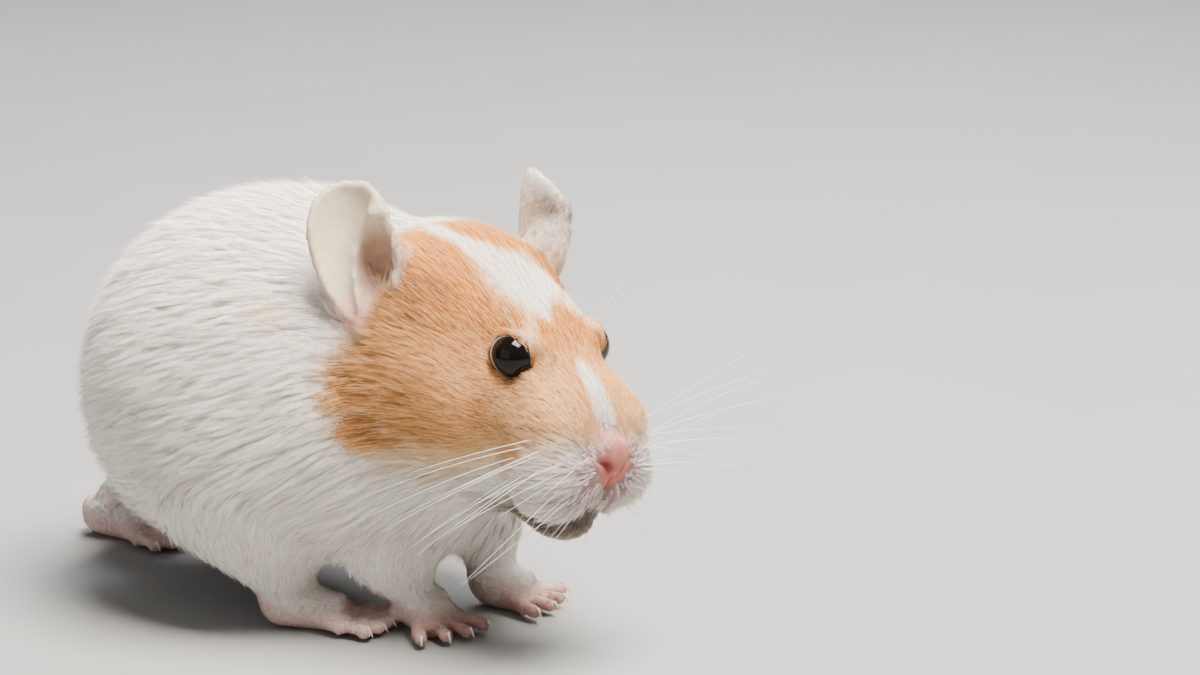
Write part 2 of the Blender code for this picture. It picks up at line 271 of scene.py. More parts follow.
def earSheet(side):
    rows, columns = earSizes["rows"], earSizes["columns"]
    centre, up, back, facing = earAxes(side)
    level = np.sin(math.pi * 0.47 * np.linspace(-1.0, 1.0, rows))[:, None] * np.ones((1, columns))
    share = np.linspace(-1.0, 1.0, columns)[None, :] * np.ones((rows, 1))
    across = earHalf(level) * share + earSizes["lean"] * level
    places = centre + back * across[..., None] + facing * earCup(share, level)[..., None]
    places = places + up * level[..., None] * earSizes["height"] / 2.0
    normals = unit(np.cross(np.gradient(places, axis=0), np.gradient(places, axis=1)))
    normals = normals * np.sign((normals @ facing).mean())
    relief = earRelief(share, level)
    # The inside carries the relief; the back only bulges where the hollow is deep
    inside = places + normals * (earSizes["wall"] / 2.0 + relief)[..., None]
    outside = places - normals * (earSizes["wall"] / 2.0 + np.maximum(-relief, 0.0))[..., None]
    layer = rows * columns
    faces = []
    for row in range(rows - 1):
        for column in range(columns - 1):
            first = row * columns + column
            quad = (first, first + 1, first + columns + 1, first + columns)
            faces += [quad, tuple(corner + layer for corner in reversed(quad))]
    rim = list(range(columns)) + list(range(2 * columns - 1, layer, columns))
    rim += list(range(layer - 2, layer - columns - 1, -1))
    rim += list(range(layer - 2 * columns, 0, -columns))
    faces += [(a, b, b + layer, a + layer) for a, b in zip(rim, rim[1:] + rim[:1])]
    places = np.concatenate([inside.reshape(-1, 3), outside.reshape(-1, 3)])
    mesh = bpy.data.meshes.new("ear")
    mesh.from_pydata(fromHead(places).tolist(), [], faces)
    return mesh


# Skin: every fleshy node and the ears joined, closed over the cuts, and drawn in by the coat's depth
skinSizes = {
    "grow": 0.25,     # mm that each node swells by, so that neighbours meet
    "voxel": 0.48,
    "seamRounds": 10,
    "blendRounds": 120,
    "keenRounds": 12,
    "drawSteps": 5,   # in how many steps the skin is drawn in
    "floorGap": 0.02,
    "eyeAside": 6.3,
    "fineEyes": (4.8, 3.9),             # mm round each eye that get finer faces, round after round
    "fineMuzzle": (9.5, -15.5, -1.0),   # the same for the muzzle: ahead of, above and below
}
# For each node: coat depth, hair length and hair width in mm, share of the hairs, rise in degrees, and
# how far hairs clump
coatPlan = {
    "trunk": (1.6, 6.2, 0.088, 1.00, 19.0, 0.17),
    "neck": (1.2, 5.0, 0.084, 1.00, 19.0, 0.16),
    "head": (0.6, 3.3, 0.070, 1.00, 15.0, 0.09),
    "lower_jaw": (0.3, 1.5, 0.10, 0.90, 16.0, 0.10),
    "nose": (0.0, 0.4, 0.06, 0.0, 8.0, 0.0),
    "eye": (0.4, 2.2, 0.09, 1.0, 15.0, 0.1),
    "ear": (0.0, 1.0, 0.06, 0.55, 12.0, 0.0),
    "tail": (0.3, 1.3, 0.08, 0.8, 12.0, 0.0),
    "leg": (0.8, 3.0, 0.11, 1.00, 19.0, 0.2),
    "foot": (0.10, 1.35, 0.085, 0.9, 14.0, 0.0),
}
fleshNodes = [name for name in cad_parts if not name.startswith("ear_")]


def planName(node):
    return next(key for key in coatPlan if key in node)


# Feet: heel, heading in degrees, length, width and toes, in the body's axes
feetSizes = {
    "fore_foot_right": ((23.4, 6.2), 26.0, 8.2, 7.8, 4),
    "fore_foot_left": ((27.4, -5.2), -8.0, 8.2, 7.8, 4),
    "hind_foot_right": ((8.5, 12.8), -14.0, 13.0, 7.0, 5),
    "hind_foot_left": ((-31.5, -8.4), 4.0, 13.0, 7.0, 5),
}
toeSizes = {
    "headInBody": (-5.4, -41.0, 36.0),   # the head's place in the body's axes
    "radii": (0.85, 0.90, 1.00, 1.10),
    "spread": 0.58,
    "sole": 0.58,      # share of a foot's length behind the clefts between its toes
}


# Where a foot's heel stands, and the ways ahead of it and beside it, in mm
def footAxes(heel, heading):
    origin = (headOrigin - forward * 0.2 * mm) / mm - np.array(toeSizes["headInBody"])
    heading = math.radians(heading)
    ahead = np.array((-math.sin(heading), -math.cos(heading), 0.0))
    aside = np.array((-math.cos(heading), math.sin(heading), 0.0))
    return origin * (1.0, 1.0, 0.0) + np.array((-heel[1], -heel[0], 0.0)), ahead, aside


# Draws the front of a foot's block back, so that the toes part
def shortenSole(part, name):
    heel, heading, length = feetSizes[name][:3]
    start, ahead = footAxes(heel, heading)[:2]
    sole = length * toeSizes["sole"]
    for vert in part.verts:
        beyond = (np.array(vert.co) / mm - start) @ ahead - sole
        if beyond > 0.0:
            vert.co -= Vector(ahead * beyond * 0.85 * mm)


# Root and tip of every toe, in mm
def toeLines():
    lines = []
    for heel, heading, length, width, toes in feetSizes.values():
        start, ahead, aside = footAxes(heel, heading)
        sole = length * 0.6
        for toe in range(toes):
            spread = toe / (toes - 1) * 2.0 - 1.0
            reach = sole + (length - sole) * (1.0 - 0.3 * spread ** 2)
            root = start + ahead * sole * 0.75 + aside * spread * width * 0.33 + (0.0, 0.0, 2.0)
            outwards = aside * spread * width * toeSizes["spread"]
            tip = start + ahead * (reach - 0.2) + outwards + (0.0, 0.0, 1.22)
            lines.append((root, tip))
    return lines


# Rounded toes, each a row of balls that swell towards the tip
def toeMesh():
    shape = bmesh.new()
    for root, tip in toeLines():
        for share, radius in zip(np.linspace(0.1, 1.0, len(toeSizes["radii"])), toeSizes["radii"]):
            place = Matrix.Translation((root + (tip - root) * share) * mm)
            bmesh.ops.create_icosphere(shape, subdivisions=2, radius=radius * mm, matrix=place)
    return meshOf("toes", shape)


# Joined copies of the flesh nodes, each swollen a little, and the kind of each vertex
def joinedFlesh():
    shape = bmesh.new()
    kinds = []
    sources = [(name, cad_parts[name].data, 0.0 if "foot" in name else skinSizes["grow"] * mm)
               for name in fleshNodes]
    sources += [("ear_" + side, earSheet(side), 0.0) for side in sideSigns]
    sources += [("foot_toes", toeMesh(), 0.0)]
    for name, mesh, grow in sources:
        kind = planName(name)
        part = bmesh.new()
        part.from_mesh(mesh)
        bmesh.ops.remove_doubles(part, verts=part.verts, dist=1e-6)
        if name in feetSizes:
            shortenSole(part, name)
        part.normal_update()
        for vert in part.verts:
            vert.co += vert.normal * grow
        kinds += [kind] * len(part.verts)
        shape.from_mesh(meshOf("part", part))
    return meshOf("flesh", shape), kinds


def vertexArray(mesh, name="co"):
    values = np.empty(len(mesh.vertices) * 3)
    source = mesh.vertices if name == "co" else mesh.vertex_normals
    source.foreach_get("co" if name == "co" else "vector", values)
    return values.reshape(-1, 3)


def edgeArray(mesh):
    ends = np.empty(len(mesh.edges) * 2, dtype=int)
    mesh.edges.foreach_get("vertices", ends)
    return ends.reshape(-1, 2)


# Each value drawn towards the mean of its neighbours, over and over
def smoothed(values, edges, rounds, amount=0.5):
    flat = values.reshape(len(values), -1).astype(float)
    amount = np.broadcast_to(np.asarray(amount, float).reshape(-1, 1), (len(flat), 1))
    ends = np.concatenate([edges[:, 0], edges[:, 1]])
    others = np.concatenate([edges[:, 1], edges[:, 0]])
    degree = np.maximum(np.bincount(ends, minlength=len(flat)), 1)[:, None]
    for _ in range(rounds):
        total = [np.bincount(ends, weights=column, minlength=len(flat)) for column in flat[others].T]
        flat = flat + amount * (np.stack(total, 1) / degree - flat)
    return flat.reshape(values.shape)


def moveVertices(mesh, places):
    mesh.vertices.foreach_set("co", places.astype(np.float32).ravel())
    mesh.update()


# Splits the quads near the nose and the mouth once more, and those near the eyes twice
def refineFace(mesh):
    front, bottom, top = skinSizes["fineMuzzle"]
    for number, reach in enumerate(skinSizes["fineEyes"]):
        shape = bmesh.new()
        shape.from_mesh(mesh)
        places = intoHead(vertexArray(mesh))
        near = np.zeros(len(places), bool)
        for sign in sideSigns.values():
            near |= reachFrom(places, (0.0, sign * skinSizes["eyeAside"], 0.0)) < reach
        if number == 0:
            near |= (places[:, 0] > front) & (places[:, 2] > bottom) & (places[:, 2] < top)
        edges = [edge for edge in shape.edges if all(near[vert.index] for vert in edge.verts)]
        bmesh.ops.subdivide_edges(shape, edges=edges, cuts=1, use_grid_fill=True)
        shape.to_mesh(mesh)
        shape.free()
    return mesh


# Per vertex, the plan of the nearest flesh node, blended across the seams
def planValues(mesh, joined, kinds, edges):
    tree = vertexTree(joined)
    names = list(coatPlan)
    nearest = np.array([names.index(kinds[tree.find(vert.co)[1]]) for vert in mesh.vertices])
    values = np.array([coatPlan[name] for name in names])[nearest]
    kindShares = (nearest[:, None] == np.arange(len(names))[None, :]).astype(float)
    soft = smoothed(values, edges, skinSizes["blendRounds"])
    near = smoothed(values, edges, skinSizes["keenRounds"])
    # Bare ears, nose and feet keep sharper edges than the seams between furred parts
    bare = smoothed(kindShares, edges, 6)
    bareShare = np.clip(bare[:, [names.index(name) for name in ("ear", "nose", "foot")]].sum(1), 0, 1)
    values = soft * (1.0 - bareShare[:, None]) + near * bareShare[:, None]
    return values, {name: bare[:, k] for k, name in enumerate(names)}


# Eyes: a dark ball under lids that follow it closely
eyeSizes = {
    "centre": (-0.32, 5.93, 0.05),
    "radius": 2.76,
    "outward": (0.35, 0.85, 0.39),
    "openLong": 64.0,   # half angle of the opening along the eye, in degrees
    "openHigh": 44.5,
    "slope": -6.0,      # degrees that the front corner lies lower
    "lid": 0.13,        # thickness of the lid's edge over the ball
    "corner": 0.16,     # how much further the lower front of the opening runs
    "cornerAt": (-0.5, 0.75),   # its place round the opening and its width, in radians
    "sunk": 0.6,        # mm that the hidden skin under the ball's face lies inside it
    # In shares of the opening: where that skin ends, the lid's edge starts, and the lid's slope ends
    "lidFrom": 0.84,
    "lidEdge": 1.10,
    "lidSlope": 1.75,
}


def eyeAxes(side):
    sign = sideSigns[side]
    outward = unit(np.array(eyeSizes["outward"]) * (1.0, sign, 1.0))
    slope = math.radians(eyeSizes["slope"])
    ahead = np.array([math.cos(slope), 0.0, math.sin(slope)])
    ahead = unit(ahead - outward * (ahead @ outward))
    above = np.cross(outward, ahead)
    above = above if above[2] > 0 else -above
    return np.array(eyeSizes["centre"]) * (1.0, sign, 1.0), ahead, above, outward


# For points in the head's axes: how far each lies from the middle of the eye's opening, 1 at the lid's
# edge, with its distance and direction from the ball's middle
def eyeOpening(places, side):
    centre, ahead, above, outward = eyeAxes(side)
    away = places - centre
    far = np.linalg.norm(away, axis=1)
    way = away / np.maximum(far, 1e-9)[:, None]
    tilt = np.arccos(np.clip(way @ outward, -1.0, 1.0))
    angle = np.arctan2(way @ above, way @ ahead)
    edge = 1.0 / np.hypot(np.cos(angle) / eyeSizes["openLong"], np.sin(angle) / eyeSizes["openHigh"])
    reach = 1.0 + eyeSizes["corner"] * bell(angle, *eyeSizes["cornerAt"])
    opening = np.degrees(tilt) / edge
    return opening / reach, far, way


# Draws the skin round each eye onto the ball, as lids
def shapeEyes(places, edges):
    radius = eyeSizes["radius"]
    lid = radius + eyeSizes["lid"]
    lidFrom, lidEdge, lidSlope = [eyeSizes[key] for key in ("lidFrom", "lidEdge", "lidSlope")]
    for side in sideSigns:
        centre = eyeAxes(side)[0]
        # The first round draws the skin in by its depth over the ball; later ones only set the lids
        for number, rounds in enumerate((24, 6, 0)):
            opening, far, way = eyeOpening(places, side)
            blend = ramp(opening, lidEdge, lidSlope)
            covered = lid * (1.0 - blend) + np.maximum(far, radius + 0.15) * blend
            sunk = radius - eyeSizes["sunk"]
            inside = sunk + (lid - radius + eyeSizes["sunk"]) * ramp(opening, lidFrom, lidEdge)
            wanted = np.where(opening < lidEdge, inside, covered)
            near = fall(far, 3.3, 4.2)
            if number == 0:
                near = fall(far - 2.2 * fall(opening, 1.0, 1.3), 4.3, 8.4)
            near = near * fall(opening, 2.2, 3.0)
            wanted = far + (wanted - far) * near
            places = centre + way * wanted[:, None]
            if rounds:
                soft = near * ramp(opening, 1.0, 1.2)
                places = smoothed(places, edges, rounds, 0.5 * soft)
    return places


# Which way the fur lies on each kind of skin
lieSizes = {
    "noseTip": (16.0, 0.0, -5.0),
    "trunk": (0.0, 1.0, -0.42),
    "leg": (0.0, 0.10, -1.0),
    "foot": (0.0, -1.0, -0.15),
    "tail": (0.0, 0.85, -0.5),
    "smoothRounds": 25,
}


# Nose and mouth, in the head's axes
muzzleSizes = {
    "nostril": (15.1, 1.35, -4.7),
    "nostrilSlope": 38.0,   # degrees that each slit rises outwards
    "nostrilLong": 0.95,
    "nostrilWide": 0.34,
    "nostrilDeep": 1.0,
    "wings": 0.30,          # mm that the nostrils' rims stand out
    "philtrumTop": -6.4,
    "philtrumBottom": -10.6,
    "philtrumWide": 0.30,
    "philtrumDeep": 0.55,
    "mouthFront": -11.0,    # height of the mouth's line at the front
    "mouthDrop": 0.45,      # mm that it drops for each mm to the side, at first
    "mouthLowest": -13.9,
    "mouthEnd": 7.5,        # how far forward its corners lie
    "mouthDeep": 0.6,
    "mouthWide": 0.36,
    "padSwell": 0.2,
    "lipSwell": 0.7,
    "browSwell": 0.8,
}
# Soft swellings of the face, as (middle, half sizes) in the head's axes
swellings = {
    "pad": ((11.2, 4.2, -7.6), (3.6, 3.4, 3.6)),
    "lowerLip": ((11.0, 0.0, -14.6), (3.6, 4.0, 1.7)),
    "brow": ((-4.2, 5.4, 3.4), (3.4, 3.2, 2.8)),
}


# How much each place belongs to the nostrils, the cleft under the nose, and the line of the mouth
def nostrilShare(places, grow=1.0):
    total = np.zeros(len(places))
    slope = math.radians(muzzleSizes["nostrilSlope"])
    for sign in sideSigns.values():
        local = places - np.array(muzzleSizes["nostril"]) * (1.0, sign, 1.0)
        side = local[:, 1] * sign
        along = side * math.cos(slope) + local[:, 2] * math.sin(slope)
        across = -side * math.sin(slope) + local[:, 2] * math.cos(slope)
        across = across + 0.35 * along * along
        shape = (along / muzzleSizes["nostrilLong"] / grow) ** 2
        shape = shape + (across / muzzleSizes["nostrilWide"] / grow) ** 2
        total = np.maximum(total, np.exp(-shape) * ramp(places[:, 0], 12.0, 13.2))
    return total


def philtrumShare(places, grow=1.0):
    bottom, top = muzzleSizes["philtrumBottom"], muzzleSizes["philtrumTop"]
    inside = ramp(places[:, 2], bottom - 0.4, bottom + 0.2) * fall(places[:, 2], top, top + 0.6)
    line = bell(places[:, 1] / muzzleSizes["philtrumWide"] / grow)
    return inside * line * ramp(places[:, 0], 11.0, 13.0)


def mouthHeight(places):
    drop = muzzleSizes["mouthDrop"] * np.abs(places[:, 1]) + 0.10 * places[:, 1] ** 2
    return np.maximum(muzzleSizes["mouthFront"] - drop, muzzleSizes["mouthLowest"])


def mouthShare(places, grow=1.0):
    line = bell((places[:, 2] - mouthHeight(places)) / muzzleSizes["mouthWide"] / grow)
    return line * ramp(places[:, 0], muzzleSizes["mouthEnd"] - 1.0, muzzleSizes["mouthEnd"] + 1.0)


def swelling(places, name, sign=1.0):
    centre, half = swellings[name]
    away = (places - np.array(centre) * (1.0, sign, 1.0)) / half
    return np.exp(-(away ** 2).sum(1))


def shapeMuzzle(places, normals):
    dent = muzzleSizes["nostrilDeep"] * nostrilShare(places)
    dent = dent + muzzleSizes["philtrumDeep"] * philtrumShare(places)
    dent = dent + muzzleSizes["mouthDeep"] * mouthShare(places)
    # The upper lip hangs a little over the lower one
    above = places[:, 2] - mouthHeight(places)
    lip = bell(above, 0.9, 0.8) * 0.30 - bell(above, -1.2, 1.0) * 0.35
    # Whisker pads swell at both sides, and brows fill out the forehead above and behind the eyes
    brow = np.zeros(len(places))
    for side, sign in sideSigns.items():
        lip = lip + muzzleSizes["padSwell"] * swelling(places, "pad", sign)
        brow = brow + swelling(places, "brow", sign) * ramp(eyeOpening(places, side)[0], 1.5, 2.3)
    # The lower lip rolls out a little
    lip = lip + muzzleSizes["lipSwell"] * swelling(places, "lowerLip")
    dent = dent - lip * ramp(places[:, 0], 8.0, 12.0) - muzzleSizes["browSwell"] * brow
    # Wings round the nostrils
    rim = nostrilShare(places, 2.2) - nostrilShare(places, 1.2)
    return places - normals * (dent - muzzleSizes["wings"] * rim)[:, None]


def makeSkin():
    joined, kinds = joinedFlesh()
    body = newObject("body", joined.copy())
    remesh = body.modifiers.new("one skin", "REMESH")
    remesh.mode = "VOXEL"
    remesh.voxel_size = skinSizes["voxel"] * mm
    mesh = refineFace(bakedMesh(body))
    edges = edgeArray(mesh)
    plan, shares = planValues(mesh, joined, kinds, edges)
    # Furred parts lose their seams; ears and feet keep their shape
    keen = np.clip(shares["ear"] + shares["foot"] + 0.6 * shares["nose"], 0.0, 1.0)
    places = smoothed(vertexArray(mesh), edges, skinSizes["seamRounds"], 0.5 * (1.0 - 0.85 * keen))
    moveVertices(mesh, places)
    steps = skinSizes["drawSteps"]
    grown = skinSizes["grow"] * (1.0 - np.clip(shares["ear"] + shares["foot"], 0.0, 1.0))
    onHead = np.clip(shares["head"] + shares["eye"], 0.0, 1.0)
    for _ in range(steps):
        facial = ramp(reachFrom(intoHead(vertexArray(mesh)), lieSizes["noseTip"]), 8.0, 24.0)
        inward = (plan[:, 0] * (1.0 - 0.7 * onHead * (1.0 - facial)) + grown) * mm / steps
        places = vertexArray(mesh) - vertexArray(mesh, "normal") * inward[:, None]
        moveVertices(mesh, smoothed(places, edges, 1, 0.3 * (1.0 - 0.8 * keen)))
    normals = vertexArray(mesh, "normal") @ headRows.T
    inHead = shapeEyes(intoHead(vertexArray(mesh)), edges)
    inHead = shapeMuzzle(inHead, normals)
    muzzle = ramp(inHead[:, 0], 4.0, 8.0)
    inHead = smoothed(inHead, edges, 3, 0.45 * muzzle)
    places = fromHead(inHead)
    places[:, 2] = np.maximum(places[:, 2], skinSizes["floorGap"] * mm)
    moveVertices(mesh, places)
    skin = newObject("skin", mesh)
    mesh.shade_smooth()
    return skin, edges, plan, shares


skin, skinEdges, plan, shares = makeSkin()
skinMesh = skin.data
inHead = intoHead(vertexArray(skinMesh))
fore, beside, high = inHead.T
headNormals = vertexArray(skinMesh, "normal") @ headRows.T
print("skin ready:", 2 * len(skinMesh.vertices), "triangles")


# Markings: each is a colour, and how strongly it shows is kept on the skin and passed to the hairs
whiteFur = "#f1ece4"
markingColours = {
    "cream": "#f0c173",    # the pale warm edges of the face's patches
    "ginger": "#da8420",   # the patches themselves
    "umber": "#9a5926",    # darker streaks in them
    "lilac": "#84605f",    # skin that shows through thin white fur
    "shell": "#dccbb0",    # the ears' bare inside
    "tan": "#c4977f",      # the hollow of the ear
    "grey": "#79726e",     # smudges on the ears' backs and edges, and painted shade under the chin
    "pink": "#d59a90",     # paws and ears' lobes
    "nose": "#bb6557",     # the lower lip: its own brownish pink, darkened further as painted shade under the muzzle
    "lip": "#38241f",      # the lower lip
    "red": "#8a3a38",      # inside the nostrils and between the lips
    "dark": "#241a18",     # the lids' edges
    "tear": "#c9c4ca",     # a painted highlight: the gleam on the wet line along the lower lid
}
# White hairs grow over these: how much of the skin's colour each hair keeps
bareMarks = {
    "lilac": 0.22,
    "shell": 0.30,
    "tan": 0.30,
    "pink": 0.35,
    "nose": 0.30,
    # Hairs over the lower lip keep all its colour, painted shade included
    "lip": 1.0,
    "red": 0.30,
}
# Orange patches as (middle, half sizes) in the head's axes; both sides take them unless a side is named
gingerPatches = [
    ((-3.6, 12.0, -3.0), (12.0, 9.0, 11.0), "both"),
    ((4.5, 7.0, -3.2), (7.5, 5.5, 6.6), "both"),
    ((-12.0, 10.2, 4.2), (9.8, 5.6, 6.4), "both"),
    ((9.0, 3.0, -1.2), (4.6, 3.2, 3.4), "both"),
    ((2.5, 0.0, 2.0), (5.5, 5.0, 3.0), "middle"),
    ((-13.0, -2.0, 5.5), (6.0, 8.5, 5.0), "middle"),
    ((-10.0, 18.0, -10.5), (3.6, 3.5, 3.5), "both"),
    ((-5.5, 16.5, -14.0), (4.0, 3.0, 2.5), "both"),
]
umberPatches = [
    ((-12.0, 18.3, -10.5), (5.0, 3.0, 3.5), "both"),
    ((-5.5, 16.0, -13.5), (5.0, 3.0, 1.8), "both"),
    ((3.1, 9.4, -5.5), (3.0, 3.0, 1.8), "both"),
    ((-9.0, 13.5, 1.5), (6.0, 4.0, 3.5), "both"),
]
# The white blaze from crown to nose, as (forward, right, up, half width)
blazePath = [
    (-18.2, 5.4, 4.8, 0.9),
    (-12.6, 4.9, 6.0, 1.1),
    (-9.5, 3.6, 6.0, 2.1),
    (-6.2, 0.8, 5.4, 3.8),
    (-2.0, 1.6, 4.4, 1.9),
    (1.2, 0.7, 3.5, 0.45),
    (4.0, 0.1, 2.6, 0.5),
    (6.8, 0.0, 1.6, 1.35),
    (12.0, 0.0, -1.0, 1.3),
]
# Single marks, as (middle, half sizes, and where in those the mark starts to fade and ends)
markPlaces = {
    "headColours": ((-2.0, 0.0, -3.0), 1.0, 24.0, 30.0),
    "muzzle": ((11.0, 0.0, -7.5), (8.0, 11.0, 8.0), 0.6, 1.2),
    "shoulder": ((-21.9, 21.0, -8.5), (2.5, 2.5, 1.6), 0.6, 1.4),
}
nosePlace = ((13.8, 0.0, -4.7), (3.4, 2.75, 3.4))


def noiseAt(places, size, seed):
    offset = Vector((seed * 7.1, seed * 3.3, -seed * 5.7))
    return np.array([noise.noise(Vector(place) / size + offset) for place in places])


def patches(places, plans, wobble, soft=0.22):
    total = np.zeros(len(places))
    for centre, half, side in plans:
        for sign in ((1.0, -1.0) if side == "both" else (1.0,)):
            reach = reachFrom(places, np.array(centre) * (1.0, sign, 1.0), half)
            total = np.maximum(total, fall(reach + wobble, 1.0 - soft, 1.0 + soft))
    return total


def markShare(name, wobble=0.0):
    centre, half, start, end = markPlaces[name]
    return fall(reachFrom(inHead, centre, half) + wobble, start, end)


# The bare nose pad, and the bare lower lip under the mouth's line
def nosePad():
    reach = reachFrom(inHead, *nosePlace) + 0.05 * noiseAt(inHead, 0.7, 5)
    soft = 0.24 * ramp(high, -4.8, -2.4)   # its top fades into the fur
    return fall((reach - 0.90 + soft) / (0.18 + soft), 0.0, 1.0)


def lowerLip():
    below = mouthHeight(inHead) - high
    return 0.9 * (ramp(below, -0.2, 0.3) * fall(below, 2.6, 4.4)) * ramp(fore, 5.5, 8.5)


# 1 on the lids, falling to 0 a little further out from the eyeball
def nearBall(far):
    return fall(far, eyeSizes["radius"] + 0.6, eyeSizes["radius"] + 1.3)


# Each skin vertex by one ear: its level, its place across, whether it faces the inside, and its share
def earPlace(side):
    centre, up, back, facing = earAxes(side)
    local = inHead - centre
    level = np.clip(2.0 * (local @ up) / earSizes["height"], -1.3, 1.3)
    half = np.maximum(earHalf(np.clip(level, -0.97, 0.97)), 0.5)
    across = (local @ back - earSizes["lean"] * level) / half
    shareIn, levelIn = np.clip(across, -1.0, 1.0), np.clip(level, -0.99, 0.99)
    off = local @ facing - earCup(shareIn, levelIn) - earRelief(shareIn, levelIn)
    inner = ramp(headNormals @ facing, -0.15, 0.35)
    sheet = fall(np.abs(across), 0.95, 1.10) * fall(np.abs(level), 0.95, 1.02)
    sheet = sheet * fall(np.abs(off), 0.9, 1.5) * inner
    near = (np.linalg.norm(local, axis=1) < 12.0) * shares["ear"]
    return level, across, inner, np.maximum(near, sheet)


def makeMarkings():
    marks = {name: np.zeros(len(inHead)) for name in markingColours}

    def mark(name, amount):
        marks[name] = np.maximum(marks[name], amount)

    wobble = 0.16 * noiseAt(inHead, 3.0, 1) + 0.10 * noiseAt(inHead, 1.1, 2)
    headward = markShare("headColours")
    white = np.zeros(len(inHead))
    for first, second in zip(blazePath, blazePath[1:]):
        far, along = segmentDistance(inHead, first[:3], second[:3])
        width = first[3] + (second[3] - first[3]) * along
        white = np.maximum(white, fall(far / width + 2.0 * wobble, 0.8, 1.25))
    # White muzzle and lower cheeks: ahead of and below a slanting line
    muzzle = ramp(fore + 4.0 * wobble, 9.0, 12.2) * ramp(-high, 2.6, 5.4)
    lower = ramp(-high + 0.25 * fore + 5.0 * wobble, 10.0, 12.5) * ramp(fore, -3.0, 0.5)
    keep = (1.0 - white) * (1.0 - muzzle) * (1.0 - lower) * headward * (1.0 - 0.9 * shares["ear"])
    # Paler low on the cheeks and along the bridge than on the crown
    ginger = patches(inHead, gingerPatches, wobble) * keep
    ginger = ginger * (0.68 + 0.32 * ramp(high, -4.0, 3.0)) * (1.0 - 0.3 * ramp(fore, 1.0, 5.0))
    warm = patches(inHead, gingerPatches, wobble - 0.14, 0.28) * headward
    warm = 0.8 * warm * (1.0 - 0.85 * white) * (1.0 - 0.7 * muzzle) * (1.0 - 0.8 * shares["ear"])
    mark("ginger", ginger)
    mark("umber", patches(inHead, umberPatches, 3.0 * wobble, 0.5) * ginger * 0.90)
    mark("cream", warm)
    mark("cream", 0.55 * markShare("shoulder", wobble))
    mark("lilac", markShare("muzzle", wobble))
    for side in sideSigns:
        opening, far, way = eyeOpening(inHead, side)
        close = nearBall(far)
        mark("lilac", 0.55 * (far < 6.0) * fall(opening + wobble, 1.3, 1.9))
        mark("dark", close * fall(opening, 1.08, 1.26))
        # A painted highlight: the wet line between ball and lid gleams pale, behind and below
        ahead, above = eyeAxes(side)[1:3]
        low = ramp(-(way @ ahead) - 0.6 * (way @ above), -0.1, 0.5)
        mark("tear", 0.8 * close * low * bell(opening, 0.99, 0.06))
        # Inside the ear: bare, with a darker hollow and edge, and pinker towards the lobe
        level, across, inner, ear = earPlace(side)
        inside = ear * inner
        edge = np.maximum(np.abs(across), np.abs(level))
        wave = wobble * 1.2
        mark("shell", inside)
        hollow = ((across + 0.54) / 0.50) ** 2 + ((level + 0.12) / 0.56) ** 2
        hollow = 0.85 * fall(hollow + 1.5 * wave, 0.45, 1.35)
        mark("tan", inside * np.maximum(hollow, 0.22 * ramp(edge, 0.8, 1.0)))
        mark("pink", 0.75 * ear * inner * fall(level + wave, -0.75, -0.35))
        # A smudge on its back, ticks along its front edge, and the head's colours at its root
        smudge = ((across + 0.75) / 0.42) ** 2 + ((level - 0.50) / 0.34) ** 2
        mark("grey", ear * (1.0 - inner) * 0.85 * np.exp(-smudge))
        ticks = ramp(-across, 0.7, 0.95) * bell(level, 0.35, 0.3) * ramp(wobble, -0.02, 0.08)
        mark("grey", ear * ticks)
        base = ear * (1.0 - inner) * fall(level + wave, -0.95, -0.35)
        mark("cream", base * 0.8)
        mark("ginger", base * base * 0.6)
    mark("nose", nosePad() * (0.72 + 0.28 * ramp(-high, 3.0, 6.0)))
    overFloor = vertexArray(skinMesh)[:, 2] / mm
    paw = 0.72 * np.clip(shares["foot"] * 1.2, 0.0, 1.0)
    mark("pink", paw * (1.0 - 0.75 * ramp(overFloor, 2.4, 5.6)))
    mark("pink", 0.7 * shares["tail"])
    # The lower lip: partly its own dark colour, partly painted shade under the muzzle
    mark("lip", lowerLip())
    # Painted shade: grey laid over the chin and jaw below the mouth, where shadow falls
    mark("grey", 0.8 * (ramp(mouthHeight(inHead) - high, 1.0, 3.0) * ramp(fore, 2.0, 6.0)))
    mark("red", nostrilShare(inHead, 1.15))
    mark("red", 0.75 * mouthShare(inHead, 0.9))
    mark("red", 0.6 * philtrumShare(inHead, 0.9))
    return marks


# The way the fur lies at each skin vertex
def makeLie():
    headWay = unit(inHead - lieSizes["noseTip"]) + np.array((-0.35, 0.0, -0.18))
    for side in sideSigns:
        far, way = eyeOpening(inHead, side)[1:]
        headWay = headWay + 0.9 * way * bell(far, 3.0, 1.6)[:, None]
    headWay = unit(headWay) @ headRows
    total = np.zeros_like(headWay)
    for name, share in shares.items():
        if name in ("head", "lower_jaw", "nose", "eye"):
            way = headWay
        elif name == "neck":
            way = unit(headWay + np.array(lieSizes["trunk"]))
        elif name == "ear":
            continue
        else:
            way = unit(np.array(lieSizes[name]))
        total += share[:, None] * way
    total = smoothed(total, skinEdges, lieSizes["smoothRounds"])
    for side in sideSigns:
        near = earPlace(side)[3][:, None]
        total = total * (1.0 - near) + near * (earAxes(side)[1] @ headRows)
    normals = vertexArray(skinMesh, "normal")
    total = total - normals * (total * normals).sum(1, keepdims=True)
    return unit(total)


# Shares by which the muzzle's hairs and the hairs round the eyes differ from the head's others
hairSizes = {
    "faceShorter": 0.60,
    "faceFiner": 0.15,
    "muzzleFewer": 0.85,
    "muzzleLonger": 0.75,
    "muzzleFiner": 0.30,
    "eyeShorter": 0.40,
}


